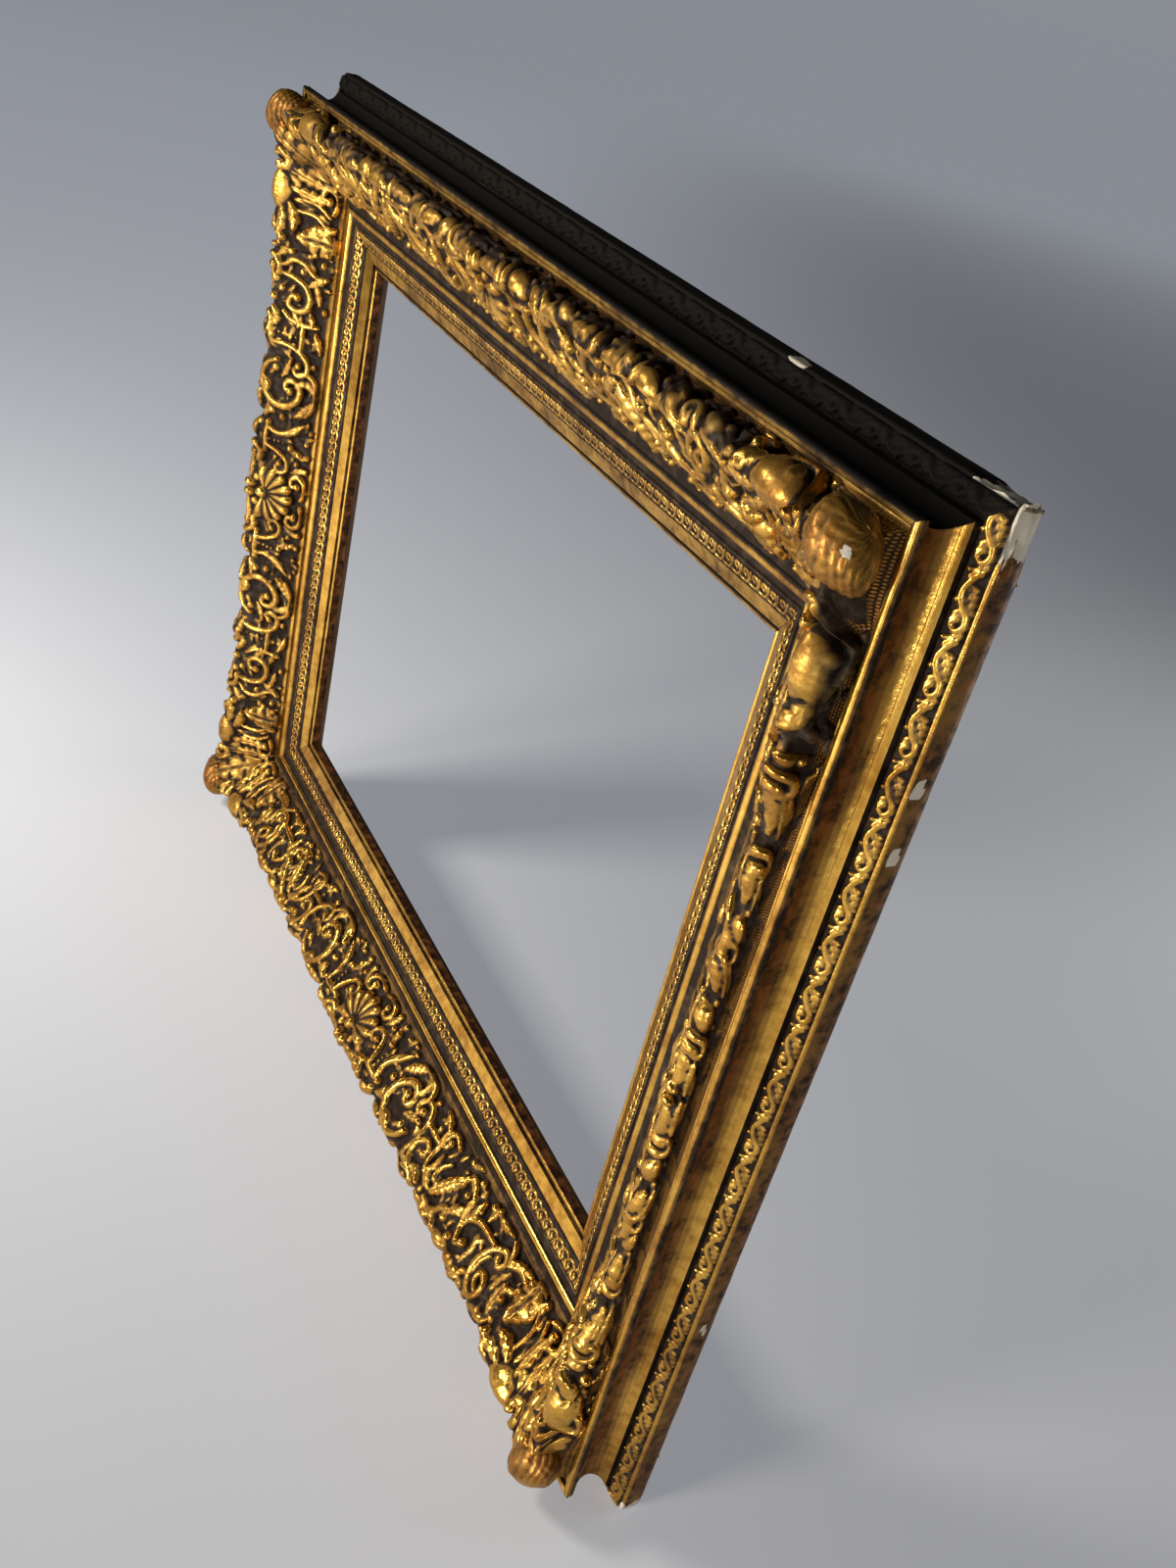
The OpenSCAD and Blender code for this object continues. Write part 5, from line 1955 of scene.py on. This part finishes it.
    def build(self) -> list[bpy.types.Object]:
        """Makes the block, the tip and its roll, which all stand for the corner's solid."""
        node = f"corner_{self.corner.label}"
        block = self.skin()
        if self.corner.sign_x * self.corner.sign_z < 0:
            block = block.flipped()
        skins = {"cast": block, "tip": self.tip(), "roll": self.roll()}
        gold = [self.finishes.gilding]
        return [dress(node, ending, skin, gold, "cast_ornament") for ending, skin in skins.items()]


# Stamped bands


@dataclass
class StampedBand:
    """A narrow sloping band with a pattern that repeats along a member."""

    side: Side
    finishes: Finishes
    kind: str = "band"
    inner: float = 14.0
    outer: float = 28.0
    pitch: float = 12.0
    cell: float = 0.5
    ground: float = 0.25
    sink: float = 0.5
    # Share of painted shade on the top member's band.
    painted_shade: float = 0.2

    def motifs(self) -> list[Motif]:
        """One unit of the pattern, in millimetres along and outward from the band's edge."""
        raise NotImplementedError

    def base(self, o: np.ndarray) -> np.ndarray:
        """Height of the face that the band lies on."""
        raise NotImplementedError

    def unit(self, cols: int) -> tuple[np.ndarray, np.ndarray]:
        """Heights and wear of one unit, raised with its neighbours so that it joins them."""
        steps = int(self.pitch / 0.33)
        along = np.arange(steps) * self.pitch / steps
        across = np.linspace(0, self.outer - self.inner, cols)
        x, y = np.meshgrid(along, across, indexing="ij")
        relief = Relief(x, y, 0.85, 1.0)
        relief.wall = 0.5
        for shift in (-self.pitch, 0.0, self.pitch):
            relief.x = x + shift
            for motif in self.motifs():
                motif.raise_on(relief)
        relief.z = np.concatenate([relief.z] * 3)
        middle = slice(steps, 2 * steps)
        swell, height = (relief.z - relief.blur(3))[middle], relief.z[middle]
        wear = np.clip(0.46 + 0.60 * swell, 0, 1) * (0.06 + 0.94 * ease(height, 0.5, 1.6))
        return height, wear

    def repeated(self, s: np.ndarray, cols: int) -> tuple[np.ndarray, np.ndarray]:
        """The unit at each place along the band, blended between its two nearest rows.

        Args:
            s: Places along the member.
            cols: Number of points across the band.

        Returns:
            The heights and the wear.
        """
        unit = np.stack(self.unit(cols))
        steps = unit.shape[1]
        seat = (s % self.pitch) / self.pitch * steps
        row = np.floor(seat).astype(int)
        part = seat - row
        column = np.broadcast_to(np.arange(cols)[None, :], s.shape)
        this, following = unit[:, row % steps, column], unit[:, (row + 1) % steps, column]
        raised, worn = this * (1 - part) + following * part
        return raised, worn

    def skin(self) -> Skin:
        """The band: its grid is mitred, and the unit is looked up at each place along it."""
        cols = int((self.outer - self.inner) / self.cell)
        rows = int(2 * (self.side.half + self.outer) / self.cell)
        t, o = np.meshgrid(
            np.linspace(-1, 1, rows), np.linspace(self.inner, self.outer, cols), indexing="ij"
        )
        s = t * (self.side.half + o)
        raised, worn = self.repeated(s, cols)
        rim = np.minimum(o - self.inner, self.outer - o)
        top = self.base(o) + self.ground + raised + waver(s, o, 5, 0.06, 3.0)
        top = top - (self.ground + self.sink) * (1 - ease(rim, 0.0, 0.7))
        block = Block(rows, cols)
        heights = block.pick(top, self.base(o) - self.sink - 0.4)
        along, across, wear = block.pick(s), block.pick(o), block.pick(worn)
        marks = shader_marks(wear, wear=wear, rub=0.12)
        # Painted shade on the top member's band.
        if self.side is Side.TOP:
            paint_shade(marks, np.full(wear.shape, self.painted_shade))
        points = self.side.place(along, across, heights)
        return Skin(points, block.quads, np.stack([along, across], axis=-1), block.caps, marks)

    def build(self) -> bpy.types.Object:
        """Dresses the band's node."""
        node = f"{self.kind}_{self.side.label}"
        return dress(node, "cast", self.skin(), [self.finishes.gilding], "cast_strip")


@dataclass
class RunningScroll(StampedBand):
    """Band of breaking scrolls with pearls and small leaves, under a thin fillet."""

    kind: str = "leaf_strip"
    inner: float = 13.9
    outer: float = 28.1
    pitch: float = 8.6

    def base(self, o: np.ndarray) -> np.ndarray:
        """Slope from the slip's top to the sanded band."""
        c = SECTION
        return c.slip_top + (o - c.slip_w) * (c.speck_h - c.slip_top) / (c.speck_o - c.slip_w)

    def motifs(self) -> list[Motif]:
        """A hook that curls over, a leaf behind it and a pearl, between two thin lines."""
        hook = ((-3.2, 3.6), (0.4, 3.0), (3.6, 4.2), (5.0, 7.0), (3.8, 9.6), (1.2, 9.8), (0.4, 7.8),
                (2.0, 6.9))
        return [
            Scroll(((-10, 1.0), (19, 1.0)), 0.9, 1.1, False),
            Scroll(((-10, 12.8), (19, 12.8)), 0.9, 0.9, False),
            Scroll(hook, 0.95, 1.95),
            Leaf((4.2, 4.4), 52, 6.6, 3.4, (1.4, 1.9), 40, 2),
            Pearls(((5.6, 2.9),), 0.8, 1.3),
        ]


@dataclass
class LaceBand(StampedBand):
    """Band of leafy scrolls on the back rail's sloping face."""

    kind: str = "lace_strip"
    inner: float = 112.0
    outer: float = 121.2
    pitch: float = 31.0
    cell: float = 0.55
    # The top lace band is painted in full shade.
    painted_shade: float = 1.0

    def base(self, o: np.ndarray) -> np.ndarray:
        """Slope from the rail's front edge down to its nose."""
        c = SECTION
        run = c.rail_out - c.rail_nose_r - c.rail_gap_o
        return c.rail_front_h - (o - c.rail_gap_o) * c.rail_fall / run

    def motifs(self) -> list[Motif]:
        """A winding stem that curls round a pearl, with leaves on both sides."""
        stem = ((-3, 6.6), (2, 4.0), (7, 2.9), (12, 4.4), (16, 7.2), (20.5, 7.9), (23.4, 5.6), (21.2, 3.0),
                (18.4, 4.6))
        return [
            Scroll(stem, 1.3, 2.2),
            Leaf((2, 4.4), 40, 10.5, 6.0, (1.7, 2.4), -34, 3),
            Leaf((8, 3.2), 36, 10.0, 5.4, (1.6, 2.3), 30, 3),
            Leaf((13, 6.4), -40, 8.6, 5.0, (1.6, 2.2), 34, 2),
            Leaf((21.5, 7.4), -4, 10.5, 5.6, (1.7, 2.5), -44, 3),
            Pearls(((27.0, 6.6),), 1.8, 2.4),
            Pearls(((27.6, 2.2), (10.4, 1.5)), 1.15, 1.8),
        ]


# Fittings and studio


class Fittings:
    """Keys, buttons, screws, eyes and rings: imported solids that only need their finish."""

    def __init__(self, frame: dict[str, object], finishes: Finishes) -> None:
        """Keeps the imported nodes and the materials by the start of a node's name."""
        self.nodes = frame["nodes"]
        self.by_start = {
            "corner_key": finishes.key,
            "turn_button": finishes.brass,
            "button_screws": finishes.steel,
            "screw_eye": finishes.eye,
            "hanging_ring": finishes.ring,
        }

    def build(self) -> None:
        """Gives each node its material."""
        for name, node in self.nodes.items():
            for start, finish in self.by_start.items():
                if name.startswith(start):
                    node.data.materials.clear()
                    node.data.materials.append(finish)
                    LOG.info("%s: %s", name, finish.name)


@dataclass(frozen=True)
class Lamp:
    """Square soft lamp: its place, the point that it faces, its side, its watts and its colour."""

    name: str
    at: Colour
    toward: Colour
    size: float
    power: float
    tone: Colour

    def build(self) -> None:
        """Makes it."""
        data = bpy.data.lights.new(self.name, "AREA")
        data.shape = "SQUARE"
        data.size, data.energy, data.color = self.size, self.power, self.tone
        lamp = bpy.data.objects.new(self.name, data)
        lamp.location = self.at
        lamp.rotation_mode = "QUATERNION"
        lamp.rotation_quaternion = (Vector(self.toward) - Vector(self.at)).to_track_quat("-Z", "Y")
        bpy.context.scene.collection.objects.link(lamp)


@dataclass
class Studio:
    """Floor, lamps, surroundings and the camera."""

    floor_z: float = -0.6641
    floor_size: float = 600.0
    low_sky: Colour = (0.31, 0.30, 0.29)
    overhead: Colour = (0.014, 0.015, 0.017)
    backdrop: Colour = (0.25, 0.265, 0.295)
    lens: float = 32.9
    sensor: float = 36.0
    camera_at: Colour = (0.807907, -0.447861, 0.187033)
    right: Colour = (0.43478474, 0.87410166, 0.21658373)
    down: Colour = (0.5532708, -0.06952116, -0.83009532)
    ahead: Colour = (-0.71053054, 0.48074223, -0.51384166)
    lamps: tuple[Lamp, ...] = (
        Lamp("key", (0.30, -1.9, -0.28), (0.0, 0.0, -0.38), 0.45, 32.0, (1.0, 0.92, 0.80)),
        Lamp("pool", (-0.45, -0.95, 0.30), (-0.45, -0.75, -0.66), 0.3, 13.0, (1.0, 0.94, 0.84)),
        Lamp("back", (0.5, 1.7, -0.15), (0.0, 0.0, -0.36), 0.9, 9.0, (1.0, 0.97, 0.93)),
        Lamp("right", (1.9, -1.1, -0.30), (0.35, 0.0, -0.35), 0.4, 9.0, (1.0, 0.95, 0.86)),
    )

    def build(self) -> None:
        """Makes them all."""
        self.floor()
        self.surroundings()
        for lamp in self.lamps:
            lamp.build()
        self.camera()

    def floor(self) -> None:
        """Large square floor under the frame."""
        e = self.floor_size / 2
        corners = [(-e, -e), (e, -e), (e, e), (-e, e)]
        mesh = bpy.data.meshes.new("floor")
        mesh.from_pydata([(x, y, self.floor_z) for x, y in corners], [], [(0, 1, 2, 3)])
        mesh.materials.append(FloorPaint("floor_paint").build())
        floor = bpy.data.objects.new("floor", mesh)
        bpy.context.scene.collection.objects.link(floor)

    def surroundings(self) -> None:
        """World that is pale near the horizon and dark overhead, and plain to the camera."""
        world = bpy.data.worlds.new("studio")
        bpy.context.scene.world = world
        bench = Bench(world, "ShaderNodeBackground", "ShaderNodeOutputWorld")
        height = bench.part(bench.add("ShaderNodeTexCoord", {}, {}), 2)
        lit = bench.blend(height.ease(-0.02, 0.16), self.low_sky, self.overhead)
        seen = bench.add("ShaderNodeLightPath", {}, {})
        bench.finish({"Color": bench.blend(seen, lit, self.backdrop)})

    def camera(self) -> None:
        """Camera at the photograph's place, angle and focal length."""
        data = bpy.data.cameras.new("camera")
        data.lens, data.sensor_width, data.sensor_fit = self.lens, self.sensor, "AUTO"
        data.clip_start, data.clip_end = 0.01, 1000.0
        camera = bpy.data.objects.new("camera", data)
        axes = [Vector(self.right), -Vector(self.down), -Vector(self.ahead)]
        turn = Matrix([[axis[row] for axis in axes] for row in range(3)]).to_4x4()
        camera.matrix_world = Matrix.Translation(self.camera_at) @ turn
        bpy.context.scene.collection.objects.link(camera)
        bpy.context.scene.camera = camera


# Main


def bed_pieces(carving: Carving, finishes: Finishes) -> Iterable[BedPiece]:
    """The shells and the scroll runs of every member."""
    for side in Side:
        end = side.half + CORNER_START
        stretches = {
            f"shell_{side.label}": (-SHELL_HALF, SHELL_HALF),
            f"scroll_run_{side.label}_a": (-end, -SHELL_HALF),
            f"scroll_run_{side.label}_b": (SHELL_HALF, end),
        }
        for name, (start, stop) in stretches.items():
            yield BedPiece(side, name, start, stop, carving, finishes)


def main() -> None:
    """Builds the dressed frame in order."""
    logging.basicConfig(level=logging.INFO, format="%(name)s %(message)s")
    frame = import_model()
    finishes = Finishes.make()
    carving = Carving()
    for side in Side:
        for kind in (SightSlip, Moulding, BackRail, RunningScroll, LaceBand):
            kind(side, finishes).build()
    for piece in bed_pieces(carving, finishes):
        piece.build()
    for corner in CORNERS:
        CornerOrnament(corner, carving, finishes).build()
    Fittings(frame, finishes).build()
    Studio().build()
    bpy.context.scene.view_settings.view_transform = "Standard"


if __name__ == "__main__":
    main()
